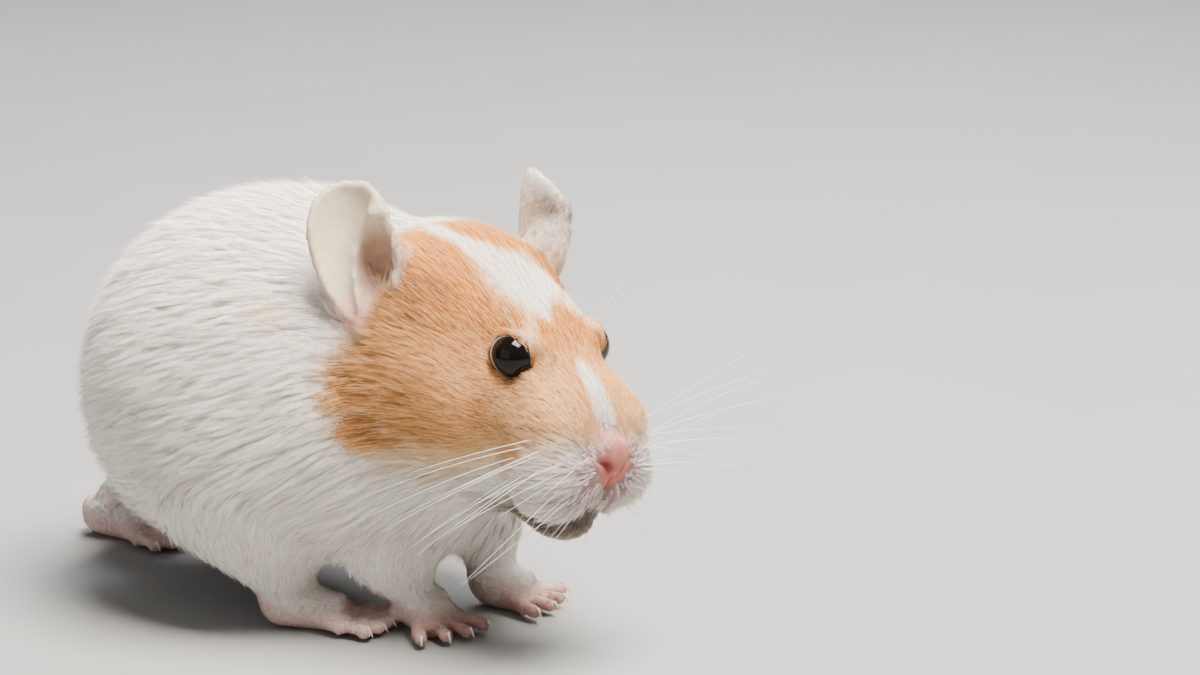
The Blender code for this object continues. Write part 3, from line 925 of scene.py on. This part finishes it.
# Each skin vertex's hair length, width, share, rise and clumping
def makeHairPlan():
    length, width, share, rise, clump = plan.T[1:].copy()
    fromNose = reachFrom(inHead, lieSizes["noseTip"])
    facial = ramp(fromNose, 3.0, 25.0)
    onHead = np.clip(shares["head"] + shares["lower_jaw"] + shares["nose"], 0.0, 1.0)
    length = length * (1.0 - onHead * (1.0 - facial) * hairSizes["faceShorter"])
    width = width * (1.0 - onHead * (1.0 - facial) * hairSizes["faceFiner"])
    thin = onHead * fall(fromNose, 7.5, 13.5) * (1.0 - 0.6 * ramp(high, -3.6, -0.6))
    share = share * (1.0 - hairSizes["muzzleFewer"] * thin)
    length = length * (1.0 + hairSizes["muzzleLonger"] * thin)
    width = width * (1.0 - hairSizes["muzzleFiner"] * thin)
    clump = clump * (1.0 - thin)
    for side in sideSigns:
        opening, far = eyeOpening(inHead, side)[:2]
        shorter = hairSizes["eyeShorter"] * fall(far, 7.0, 9.0) * fall(opening, 1.2, 2.4)
        length = length * (1.0 - shorter)
        share = share * (1.0 - nearBall(far) * fall(opening, 1.10, 1.26))
        level, across, inner, ear = earPlace(side)
        ridge = ramp(-across, 0.62, 0.9) * ramp(level, -0.7, -0.3) * fall(level, 0.45, 0.8)
        share = share * (1.0 - ear * inner * (0.96 - 0.9 * ridge))
        length = length * (1.0 + ear * (0.7 * ridge - 0.35 * ramp(level, 0.5, 0.9)))
        rise = rise + 8.0 * ear * ridge
        # Longer hairs of the head stand over the ear's front edge
        centre, up, back = earAxes(side)[:3]
        verge = fall(reachFrom(inHead, centre - up * 3.0 - back * 4.5), 4.0, 7.5) * (1.0 - ear)
        length = length * (1.0 + 0.35 * verge)
        rise = rise + 12.0 * verge
    share = np.maximum(share, 0.2 * ramp(shares["nose"], 0.02, 0.1)) * (1.0 - nosePad())
    share = share * fall(mouthShare(inHead, 1.3), 0.15, 0.7) * (1.0 - philtrumShare(inHead, 1.2))
    share = share * (1.0 - 0.97 * lowerLip())
    overFloor = vertexArray(skinMesh)[:, 2] / mm
    normals = vertexArray(skinMesh, "normal")
    share = share * (1.0 - fall(overFloor, 0.5, 1.4) * ramp(-normals[:, 2], 0.2, 0.6))
    # Hairs near the floor stay short enough to clear it
    length = length * (0.25 + 0.75 * ramp(overFloor, 0.5, 7.0))
    return {"hairLength": length * mm, "hairWidth": width * mm, "share": np.clip(share, 0.0, 1.0),
            "rise": np.radians(rise), "clump": clump}


def storeFloats(mesh, name, values):
    mesh.attributes.new(name, "FLOAT", "POINT").data.foreach_set("value", values.astype(np.float32))


def dressSkin():
    bpy.context.view_layer.objects.active = skin
    skin.select_set(True)
    skinMesh.uv_layers.new(name="OFBake")
    bpy.ops.object.mode_set(mode="EDIT")
    bpy.ops.mesh.select_all(action="SELECT")
    bpy.ops.uv.smart_project(angle_limit=math.radians(72.0), island_margin=0.001)
    bpy.ops.object.mode_set(mode="OBJECT")
    skin.select_set(False)
    for name, values in {**marks, **hairPlan}.items():
        storeFloats(skinMesh, name, values)
    lie = skinMesh.attributes.new("lie", "FLOAT_VECTOR", "POINT")
    lie.data.foreach_set("vector", makeLie().astype(np.float32).ravel())


marks = makeMarkings()
hairPlan = makeHairPlan()
dressSkin()
print("skin marked and unwrapped")


# An empty material, what adds a node to it, and each point's place on the piece
def newMaterial(name):
    material = bpy.data.materials.new(name)
    material.use_nodes = True
    material.node_tree.nodes.clear()
    add = partial(addNode, material.node_tree)
    return material, add, add("ShaderNodeTexCoord").outputs["Object"]


# Noise with features of a size in mm, and two colours mixed by it
def mottled(add, place, size, detail, first, second):
    waves = add(noiseTexture, {"Vector": place, "Scale": 1.0 / (size * mm), "Detail": detail})
    colours = {0: waves.outputs[0], 6: linear(first), 7: linear(second)}
    return waves.outputs[0], add("ShaderNodeMix", colours, data_type="RGBA").outputs[2]


# The shader with its inputs, and the output it goes to
def finishMaterial(add, inputs):
    shader = add("ShaderNodeBsdfPrincipled", inputs)
    add("ShaderNodeOutputMaterial", {"Surface": shader.outputs[0]})


# Each marking's colour laid over the white that skin and fur share
def markedColour(add, colour, onHairs=False):
    for name, hexColour in markingColours.items():
        amount = add("ShaderNodeAttribute", attribute_name=name).outputs["Fac"]
        if name in bareMarks and onHairs:
            amount = add(scalarMath, {0: amount, 1: bareMarks[name]}, operation="MULTIPLY").outputs[0]
        mix = {0: amount, 6: colour, 7: linear(hexColour)}
        colour = add("ShaderNodeMix", mix, data_type="RGBA").outputs[2]
    return colour


# Thin living skin, soft and slightly moist: dull with a faint sheen, pored and creased at 0.35 mm
def skinMaterial():
    material, add, place = newMaterial("livingSkin")
    pores = add(noiseTexture, {"Vector": place, "Scale": 1.0 / (0.35 * mm), "Detail": 3.0})
    blotch, base = mottled(add, place, 2.5, 2.0, "#d9cfc6", whiteFur)
    colour = markedColour(add, base)
    flush = add(mapRange, {
        "Value": blotch, "From Min": 0.3, "From Max": 0.7, "To Min": 0.90, "To Max": 1.06})
    tinted = add(vectorMath, {0: colour, "Scale": flush.outputs[0]}, operation="SCALE")
    bump = add("ShaderNodeBump", {"Height": pores.outputs[0], "Distance": 0.07 * mm, "Strength": 0.8})
    rough = add(mapRange, {"Value": pores.outputs[0], "To Min": 0.42, "To Max": 0.62})
    finishMaterial(add, {
        "Base Color": tinted.outputs[0], "Roughness": rough.outputs[0], "Normal": bump.outputs[0],
        "IOR": 1.4, "Subsurface Weight": 0.12, "Subsurface Radius": (1.0, 0.45, 0.3),
        "Subsurface Scale": 0.6 * mm})
    return material


# Soft guard hairs over fine underfur: pale and silky, darker at the root, each tuft a little different
def furMaterial():
    material, add, place = newMaterial("softFur")
    shade, along, ginger, lilac = [
        add("ShaderNodeAttribute", attribute_name=name).outputs["Fac"]
        for name in ("shade", "along", "ginger", "lilac")]
    white = mottled(add, place, 6.0, 2.0, "#efe9e2", "#fdfbf8")[1]
    colour = markedColour(add, white, onHairs=True)
    # The upper half of the shades turns paler, and the lowest two fifths deeper
    pale = add(mapRange, {"Value": shade, "From Min": 0.50, "From Max": 1.0, "To Max": 0.45}).outputs[0]
    sand = linear("#f2d3a4")
    colour = add("ShaderNodeMix", {0: pale, 6: colour, 7: sand}, data_type="RGBA").outputs[2]
    deep = add(mapRange, {
        "Value": shade, "From Min": 0.0, "From Max": 0.40, "To Min": 0.38, "To Max": 1.04})
    root = add(mapRange, {"Value": along, "From Max": 0.6, "To Min": 0.80, "To Max": 1.0})
    # White hairs differ less than coloured ones
    marked = add(scalarMath, {0: ginger, 1: lilac}, operation="MAXIMUM")
    strength = add(mapRange, {"Value": marked, "To Min": 0.35, "To Max": 1.0})
    tone = add(scalarMath, {0: deep.outputs[0], 1: root.outputs[0]}, operation="MULTIPLY")
    tone = add("ShaderNodeMix", {0: strength.outputs[0], 2: 1.0, 3: tone}, data_type="FLOAT")
    tinted = add(vectorMath, {0: colour, "Scale": tone.outputs[0]}, operation="SCALE")
    finishMaterial(add, {
        "Base Color": tinted.outputs[0], "Roughness": 0.65, "IOR": 1.45, "Specular IOR Level": 0.2})
    return material


# Fur: each tuft is a few flat hairs, tapered to points, that share a root
furSizes = {
    # Each hair's place to the side and lift in hair widths, and its share of the length
    "hairs": [(-3.4, 0.3, 0.86), (-1.0, -0.2, 1.0), (1.3, 0.4, 0.93), (3.6, 0.0, 0.78)],
    "gather": 0.75,      # how much of their spread the tips keep
    "jitter": 0.11,
    "flowWide": 0.42,    # bends that whole locks share
    "flowFine": 0.18,
    "lockSpacing": 2.0,  # mm
    "sag": 0.55,
    "patch": 0.003,
}
# Pieces of the coat: the kinds of skin they cover, how many pieces share it, and the tufts in each
coatPieces = {
    "head": (("head", "lower_jaw", "nose", "eye"), 3, 15400),
    "body": (("trunk", "neck"), 4, 14300),
    "limbs": (("leg", "foot", "tail", "ear"), 2, 10000),
}


def tuftMesh():
    verts, faces, along, patch, own = [], [], [], [], []
    for number, (side, lift, length) in enumerate(furSizes["hairs"]):
        first = len(verts)
        tip = side * furSizes["gather"]
        mid = (side + tip) / 2.0
        verts += [(side - 0.5, lift, 0.0), (side + 0.5, lift, 0.0), (mid + 0.42, lift, length / 2.0),
                  (mid - 0.42, lift, length / 2.0), (tip, lift, length)]
        faces += [(first, first + 1, first + 2, first + 3), (first + 3, first + 2, first + 4)]
        along += [0.0, 0.0, 0.5, 0.5, 1.0]
        own += [0.37 * number] * 5
        left, right = number / 4.0, number / 4.0 + 0.2
        patch += [(left, 0.0), (right, 0.0), (right, 0.5), (left, 0.5), (left + 0.1, 1.0)]
    mesh = bpy.data.meshes.new("tuft")
    mesh.from_pydata(verts, [], faces)
    storeFloats(mesh, "along", np.array(along))
    storeFloats(mesh, "ownShade", np.array(own))
    corners = mesh.attributes.new("patch", "FLOAT2", "CORNER")
    places = [patch[loop.vertex_index] for loop in mesh.loops]
    corners.data.foreach_set("vector", np.array(places).ravel())
    return mesh


def furTree(tuft, material):
    tree = bpy.data.node_groups.new("fur", "GeometryNodeTree")
    sockets = (("Skin", "Geometry"), ("Tufts", "Float"), ("Seed", "Int"), ("Lock spacing", "Float"))
    for name, kind in sockets:
        tree.interface.new_socket(name, in_out="INPUT", socket_type="NodeSocket" + kind)
    tree.interface.new_socket("Coat", in_out="OUTPUT", socket_type="NodeSocketGeometry")
    add = partial(addNode, tree)
    source = add("NodeGroupInput").outputs
    position = add("GeometryNodeInputPosition")
    # Values kept on skin, tufts and hairs, read by name
    kept = {
        "FLOAT": ("share", "rise", "hairLength", "hairWidth", "clump", "shade", "ownShade", "along"),
        "FLOAT_VECTOR": ("lie", "root", "rootNormal", "patch", "OFBake"),
    }
    own = {name: add("GeometryNodeInputNamedAttribute", {"Name": name}, data_type=kind)
           for kind, names in kept.items() for name in names}
    density = add(scalarMath, {0: own["share"], 1: source["Tufts"]}, operation="MULTIPLY")
    scatter = add("GeometryNodeDistributePointsOnFaces", {
        "Mesh": source["Skin"], "Density": density, "Seed": source["Seed"]})
    outward = scatter.outputs["Normal"]
    shade = add("FunctionNodeRandomValue", {"Seed": 11}, data_type="FLOAT")
    points = scatter.outputs["Points"]
    noted = {
        "rootNormal": ("FLOAT_VECTOR", outward),
        "root": ("FLOAT_VECTOR", position),
        "shade": ("FLOAT", shade),
    }
    for name, (kind, value) in noted.items():
        points = add(storeValue, {"Geometry": points, "Name": name, "Value": value},
                     data_type=kind, domain="POINT")
    # Way of each tuft: the lie of the fur, bent by noise that neighbours share, and a little of its own
    way = own["lie"]
    for size, strength in ((4.5, furSizes["flowWide"]), (1.3, furSizes["flowFine"])):
        waves = add(noiseTexture, {"Vector": position, "Scale": 1.0 / (size * mm), "Detail": 1.0})
        centred = add(vectorMath, {0: waves.outputs["Color"], 1: (0.5, 0.5, 0.5)}, operation="SUBTRACT")
        way = add(vectorMath, {0: centred, 1: (strength,) * 3, 2: way}, operation="MULTIPLY_ADD")
    stray = add("FunctionNodeRandomValue", {0: (-1.0, -1.0, -1.0), 1: (1.0, 1.0, 1.0), "Seed": 5},
                data_type="FLOAT_VECTOR")
    way = add(vectorMath, {0: stray, 1: (furSizes["jitter"],) * 3, 2: way}, operation="MULTIPLY_ADD")
    # Laid flat on the skin, and then raised by its rise
    outShare = add(vectorMath, {0: way, 1: outward}, operation="DOT_PRODUCT")
    lifted = add(vectorMath, {0: outward, "Scale": outShare.outputs["Value"]}, operation="SCALE")
    flat = add(vectorMath, {0: way, 1: lifted}, operation="SUBTRACT")
    flat = add(vectorMath, {0: flat}, operation="NORMALIZE")
    spread = add("FunctionNodeRandomValue", {2: 0.55, 3: 1.45, "Seed": 7}, data_type="FLOAT")
    turned = add(scalarMath, {0: own["rise"], 1: spread}, operation="MULTIPLY")
    level = add(scalarMath, {0: turned}, operation="COSINE")
    height = add(scalarMath, {0: turned}, operation="SINE")
    flat = add(vectorMath, {0: flat, "Scale": level}, operation="SCALE")
    lifted = add(vectorMath, {0: outward, "Scale": height}, operation="SCALE")
    hairWay = add(vectorMath, {0: flat, 1: lifted}, operation="ADD")
    turn = add("FunctionNodeAxesToRotation", {0: hairWay, 1: outward},
               primary_axis="Z", secondary_axis="Y")
    uneven = add("FunctionNodeRandomValue", {2: 0.62, 3: 1.12, "Seed": 3}, data_type="FLOAT")
    length = add(scalarMath, {0: own["hairLength"], 1: uneven}, operation="MULTIPLY")
    size = add("ShaderNodeCombineXYZ", {0: own["hairWidth"], 1: own["hairWidth"], 2: length})
    tuftShape = add("GeometryNodeObjectInfo", {"Object": tuft})
    tufts = add("GeometryNodeInstanceOnPoints", {
        "Points": points, "Instance": tuftShape.outputs["Geometry"], "Rotation": turn, "Scale": size})
    hairs = add("GeometryNodeRealizeInstances", {0: tufts})
    # Hairs of one tuft differ in shade as much as tufts do
    hairShade = add(scalarMath, {0: own["shade"], 1: own["ownShade"]}, operation="ADD")
    hairShade = add(scalarMath, {0: hairShade}, operation="FRACT")
    hairs = add(storeValue, {"Geometry": hairs, "Name": "shade", "Value": hairShade},
                data_type="FLOAT", domain="POINT")
    # Shape of each hair: it droops back towards the skin, and its tip leans to the middle of its lock
    bend = add(scalarMath, {0: own["along"], 1: 2.0}, operation="POWER")
    droop = own["hairLength"]
    for factor in (own["rise"], -furSizes["sag"], bend):
        droop = add(scalarMath, {0: droop, 1: factor}, operation="MULTIPLY")
    drooped = add(vectorMath, {0: own["rootNormal"], "Scale": droop}, operation="SCALE")
    locks = add("GeometryNodeDistributePointsOnFaces", {
        "Mesh": source["Skin"], "Distance Min": source["Lock spacing"], "Density Max": 3e6, "Seed": 1},
        distribute_method="POISSON").outputs["Points"]
    nearest = add("GeometryNodeSampleNearest", {"Geometry": locks, "Sample Position": own["root"]},
                  domain="POINT")
    lockRoot = add("GeometryNodeSampleIndex", {"Geometry": locks, "Value": position, "Index": nearest},
                   data_type="FLOAT_VECTOR", domain="POINT")
    lean = add(vectorMath, {0: lockRoot, 1: own["root"]}, operation="SUBTRACT")
    clumped = add(scalarMath, {0: own["clump"], 1: bend}, operation="MULTIPLY")
    lean = add(vectorMath, {0: lean, "Scale": clumped}, operation="SCALE")
    moved = add(vectorMath, {0: drooped, 1: lean}, operation="ADD")
    hairs = add("GeometryNodeSetPosition", {"Geometry": hairs, "Offset": moved})
    # Shading follows the skin below, tipped a little from tuft to tuft, so the coat looks soft
    tip = add(mapRange, {"Value": own["shade"], "To Min": -0.30, "To Max": 0.30})
    tipped = add(vectorMath, {0: own["lie"], "Scale": tip.outputs[0]}, operation="SCALE")
    softNormal = add(vectorMath, {0: tipped, 1: own["rootNormal"]}, operation="ADD")
    softNormal = add(vectorMath, {0: softNormal}, operation="NORMALIZE")
    hairs = add("GeometryNodeSetMeshNormal", {"Mesh": hairs, "Custom Normal": softNormal},
                mode="FREE", domain="POINT")
    # Each tuft's patch of the texture lies round the place of its root
    centred = add(vectorMath, {0: own["patch"], 1: (0.5, 0.5, 0.0)}, operation="SUBTRACT")
    placed = add(vectorMath, {0: centred, 1: (furSizes["patch"],) * 3, 2: own["OFBake"]},
                 operation="MULTIPLY_ADD")
    hairs = add(storeValue, {"Geometry": hairs, "Name": "OFBake", "Value": placed},
                data_type="FLOAT2", domain="CORNER")
    finished = add("GeometryNodeSetMaterial", {"Geometry": hairs, "Material": material})
    add("NodeGroupOutput", {0: finished})
    return tree


# Area in mm2 that each skin vertex stands for
def vertexAreas(mesh):
    areas = np.empty(len(mesh.polygons))
    mesh.polygons.foreach_get("area", areas)
    counts = np.empty(len(mesh.polygons), dtype=int)
    mesh.polygons.foreach_get("loop_total", counts)
    owners = np.empty(len(mesh.loops), dtype=int)
    mesh.loops.foreach_get("vertex_index", owners)
    return np.bincount(owners, weights=np.repeat(areas / counts, counts), minlength=len(mesh.vertices))


def growCoat():
    material = furMaterial()
    tuft = newObject("tuft", tuftMesh())
    tree = furTree(tuft, material)
    sockets = {item.name: item.identifier for item in tree.interface.items_tree
               if item.in_out == "INPUT"}
    areas = vertexAreas(skinMesh)
    pieces = []
    for region, (kinds, count, tufts) in coatPieces.items():
        covered = np.clip(sum(shares[kind] for kind in kinds), 0.0, 1.0) * hairPlan["share"]
        ground = skinMesh.copy()
        ground.attributes["share"].data.foreach_set("value", covered.astype(np.float32))
        for number in range(count):
            piece = newObject("coat_%s_%d" % (region, number + 1), ground.copy())
            growth = piece.modifiers.new("fur", "NODES")
            growth.node_group = tree
            growth[sockets["Tufts"]] = float(tufts / (areas @ covered))
            growth[sockets["Seed"]] = number + 1
            growth[sockets["Lock spacing"]] = furSizes["lockSpacing"] * mm
            name = piece.name
            mesh = bakedMesh(piece)
            for scratch in [item.name for item in mesh.attributes]:
                if scratch in hairPlan or scratch in ("lie", "root", "rootNormal", "patch", "ownShade"):
                    mesh.attributes.remove(mesh.attributes[scratch])
            mesh.name = name
            pieces.append(newObject(name, mesh))
            print(name, len(mesh.polygons) // len(furSizes["hairs"]) // 2, "tufts")
    bpy.data.objects.remove(tuft, do_unlink=True)
    return pieces


skinMesh.materials.append(skinMaterial())
coats = growCoat()
for coat in coats:
    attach(coat, "root")
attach(skin, "root")
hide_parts(*[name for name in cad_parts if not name.startswith("eye_")])
print("coat grown")


# Eyes: glossy, nearly black, with a smooth wet surface that mirrors the light
def eyeMaterial():
    material, add, place = newMaterial("wetEye")
    colour = mottled(add, place, 1.2, 2.0, "#060505", "#150e0b")[1]
    finishMaterial(add, {
        "Base Color": colour, "Roughness": 0.05, "IOR": 1.38, "Specular IOR Level": 0.36})
    return material


def makeEyes():
    material = eyeMaterial()
    for side in sideSigns:
        shape = bmesh.new()
        bmesh.ops.create_uvsphere(shape, u_segments=48, v_segments=28, radius=eyeSizes["radius"] * mm)
        bmesh.ops.translate(shape, verts=shape.verts, vec=fromHead(eyeAxes(side)[0]))
        mesh = meshOf("eyeball_" + side, shape)
        mesh.shade_smooth()
        mesh.materials.append(material)
        ball = newObject("eyeball_" + side, mesh)
        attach(ball, "root")
        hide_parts("eye_" + side)


makeEyes()
print("eyes ready")


# Tapered tubes along smooth paths, for whiskers and claws: each is (points in mm, thickness in mm)
def tubes(name, paths, sides=5):
    shape = bmesh.new()
    for points, thickness in paths:
        points = np.array(points)
        rings = []
        for number, point in enumerate(points):
            ahead = unit(points[min(number + 1, len(points) - 1)] - points[max(number - 1, 0)])
            across = unit(np.cross(ahead, (0.13, 0.21, 0.97)))
            above = np.cross(ahead, across)
            share = number / (len(points) - 1)
            radius = thickness / 2.0 * (1.0 - share) ** 0.6
            if number == len(points) - 1:
                tip = shape.verts.new(point * mm)
                break
            ring = []
            for k in range(sides):
                angle = 2.0 * math.pi * k / sides
                away = across * math.cos(angle) + above * math.sin(angle)
                ring.append(shape.verts.new((point + radius * away) * mm))
            rings.append(ring)
        for lower, upper in zip(rings, rings[1:]):
            for k in range(sides):
                shape.faces.new((lower[k], lower[(k + 1) % sides], upper[(k + 1) % sides], upper[k]))
        for k in range(sides):
            shape.faces.new((rings[-1][k], rings[-1][(k + 1) % sides], tip))
        shape.faces.new(rings[0])
    bmesh.ops.recalc_face_normals(shape, faces=shape.faces)
    piece = newObject(name, meshOf(name, shape))
    piece.data.shade_smooth()
    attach(piece, "root")
    return piece


# Whiskers: rows on the pads beside the nose, with a few brow and chin hairs, in the head's axes
whiskerSizes = {
    "rows": 5,
    "perRow": 4,
    "thickness": 0.10,
    "longest": {"right": 0.55 * 29.0, "left": 29.0},
    "shortest": 8.0,
    "limit": 9.0,      # mm beyond the body's box that a tip may reach
    "seed": 4,
    "padFront": (13.6, 4.0, -4.9),
    "padSpread": (4.6, 2.0, 4.6),   # how far the pad reaches back, out and down from there
    # Ways at the pad's front and top, and how they change towards its back and bottom
    "ways": {
        "right": ((0.05, 0.80, -0.35), (-0.50, 0.0, 0.0), (0.0, 0.0, -0.90)),
        "left": ((0.45, -1.0, 0.95), (-0.30, 0.0, 0.0), (0.0, 0.0, -1.55)),
    },
    "browLength": 8.0,
    "chinLength": 5.0,
    "fine": 0.7,       # thickness of brow and chin hairs beside the whiskers'
}


# Stiff keratin, tapered and translucent: bright white against anything darker
def whiskerMaterial():
    material, add, place = newMaterial("whiskerKeratin")
    colour = mottled(add, place, 3.0, 2.0, "#e9e4dc", "#fdfbf8")[1]
    finishMaterial(add, {"Base Color": colour, "Roughness": 0.38, "IOR": 1.55})
    return material


# Every whisker's root, way, length and share of the thickness
def whiskerPlans():
    plans = []
    front, spread = whiskerSizes["padFront"], whiskerSizes["padSpread"]
    shortest = whiskerSizes["shortest"]
    for side, sign in sideSigns.items():
        first, backward, downward = [np.array(way) for way in whiskerSizes["ways"][side]]
        longest = whiskerSizes["longest"][side]
        for row in range(whiskerSizes["rows"]):
            for place in range(whiskerSizes["perRow"]):
                behind = place / (whiskerSizes["perRow"] - 1)
                below = row / (whiskerSizes["rows"] - 1)
                root = (front[0] - spread[0] * behind, sign * (front[1] + spread[1] * behind),
                        front[2] - spread[2] * below)
                way = first + backward * behind + downward * below
                longer = (longest - shortest) * behind ** 0.5 * (1.0 - 0.25 * below)
                plans.append((root, way, shortest + longer, 1.0))
        for number in range(3):
            brow = (-1.0 + number, sign * 6.6, 4.4), np.array((0.1 * number - 0.2, sign * 0.7, 0.9))
            chin = (9.0 + 1.6 * number, sign * 2.6, -14.5), np.array((0.2, sign * 0.35, -1.0))
            plans.append((*brow, whiskerSizes["browLength"], whiskerSizes["fine"]))
            plans.append((*chin, whiskerSizes["chinLength"], whiskerSizes["fine"]))
    return plans


def makeWhiskers():
    chance = np.random.default_rng(whiskerSizes["seed"])
    tree = vertexTree(skinMesh)
    low, high = [np.array(corner) / mm for corner in cadBox]
    low = low - whiskerSizes["limit"]
    high = high + whiskerSizes["limit"]
    low[2] = 0.3
    paths = []
    for root, way, length, thick in whiskerPlans():
        jitter = chance.normal(0.0, 1.0, 7)
        root = np.array(tree.find(fromHead(np.array(root) + 0.25 * jitter[:3]))[0]) / mm
        way = unit(way + 0.10 * jitter[3:6]) @ headRows
        droop = np.array((0.0, 0.40, -0.45)) * (0.7 + 0.3 * jitter[6])
        length = length * (1.0 + 0.12 * jitter[6])
        while length > 1.0:
            steps = np.linspace(-0.03, 1.0, 13)[:, None]
            points = root + way * steps * length + droop * length * 0.45 * np.maximum(steps, 0.0) ** 2
            if (points > low).all() and (points < high).all():
                break
            length *= 0.93
        paths.append((points, whiskerSizes["thickness"] * thick))
    piece = tubes("whiskers", paths)
    piece.data.materials.append(whiskerMaterial())


makeWhiskers()
print("whiskers ready")


# Claws: small curved cones at the toes' tips
clawSizes = {
    "long": 0.75,
    "thick": 0.42,
    "ahead": 0.55,   # mm from the last ball of the toe to the claw's root
    "height": 1.75,
    "droop": 1.1,
}


# Horn, thin and pale, finely mottled with a pinker tone
def clawMaterial():
    material, add, place = newMaterial("paleClaw")
    grain, colour = mottled(add, place, 0.4, 2.0, "#d9bfae", "#f3e9dd")
    bump = add("ShaderNodeBump", {"Height": grain, "Distance": 0.02 * mm})
    finishMaterial(add, {
        "Base Color": colour, "Roughness": 0.33, "IOR": 1.54, "Normal": bump.outputs[0]})
    return material


def makeClaws():
    paths = []
    for root, tip in toeLines():
        way = unit(tip - root)
        steps = np.linspace(0.0, 1.0, 9)[:, None]
        points = tip + way * (clawSizes["ahead"] + steps * clawSizes["long"])
        points[:, 2:] = clawSizes["height"] - clawSizes["droop"] * steps ** 1.6
        paths.append((points, clawSizes["thick"]))
    piece = tubes("claws", paths, 8)
    piece.data.materials.append(clawMaterial())


makeClaws()
print("claws ready")


# Studio: a wide floor of pale matt paper under a pale sky, with soft light mostly from above
studioSizes = {
    "halfWidth": 3000.0,
    "worldColour": "#e9ecf0",
    "worldLight": 0.20,
    # Each light's way from the animal, distance and size in mm, watts and colour
    "lights": {
        "key": ((0.0, -0.42, 1.35), 520.0, (300.0, 300.0), 15.5, "#fff9f0"),
        "fill": ((-1.0, 0.3, 0.4), 600.0, (500.0, 400.0), 0.5, "#eef3ff"),
        "rim": ((0.9, 0.3, 0.9), 500.0, (250.0, 250.0), 2.4, "#ffffff"),
    },
}


# Matt seamless paper, with a faint mottle so that it isn't dead flat
def paperMaterial():
    material, add, place = newMaterial("seamlessPaper")
    colour = mottled(add, place, 40.0, 3.0, "#929290", "#999997")[1]
    finishMaterial(add, {"Base Color": colour, "Roughness": 0.85})
    return material


def makeLight(name, way, distance, size, watts, colour):
    light = bpy.data.lights.new(name, "AREA")
    light.shape = "RECTANGLE"
    light.size, light.size_y = [value * mm for value in size]
    light.energy = watts
    light.color = linear(colour)[:3]
    lamp = newObject(name, light)
    way = Vector(way).normalized()
    lamp.location = (Vector((0.0, -10.0, 25.0)) + way * distance) * mm
    lamp.rotation_euler = way.to_track_quat("Z", "Y").to_euler()


def makeStudio():
    half = studioSizes["halfWidth"] * mm
    mesh = bpy.data.meshes.new("floor")
    corners = [(-half, -half, 0.0), (half, -half, 0.0), (half, half, 0.0), (-half, half, 0.0)]
    mesh.from_pydata(corners, [], [(0, 1, 2, 3)])
    mesh.materials.append(paperMaterial())
    floor = newObject("floor", mesh)
    world = bpy.data.worlds.new("studio")
    world.use_nodes = True
    bpy.context.scene.world = world
    backdrop = world.node_tree.nodes["Background"]
    backdrop.inputs[0].default_value = linear(studioSizes["worldColour"])
    backdrop.inputs[1].default_value = studioSizes["worldLight"]
    for name, plan in studioSizes["lights"].items():
        makeLight(name, *plan)


makeStudio()
print("studio ready")
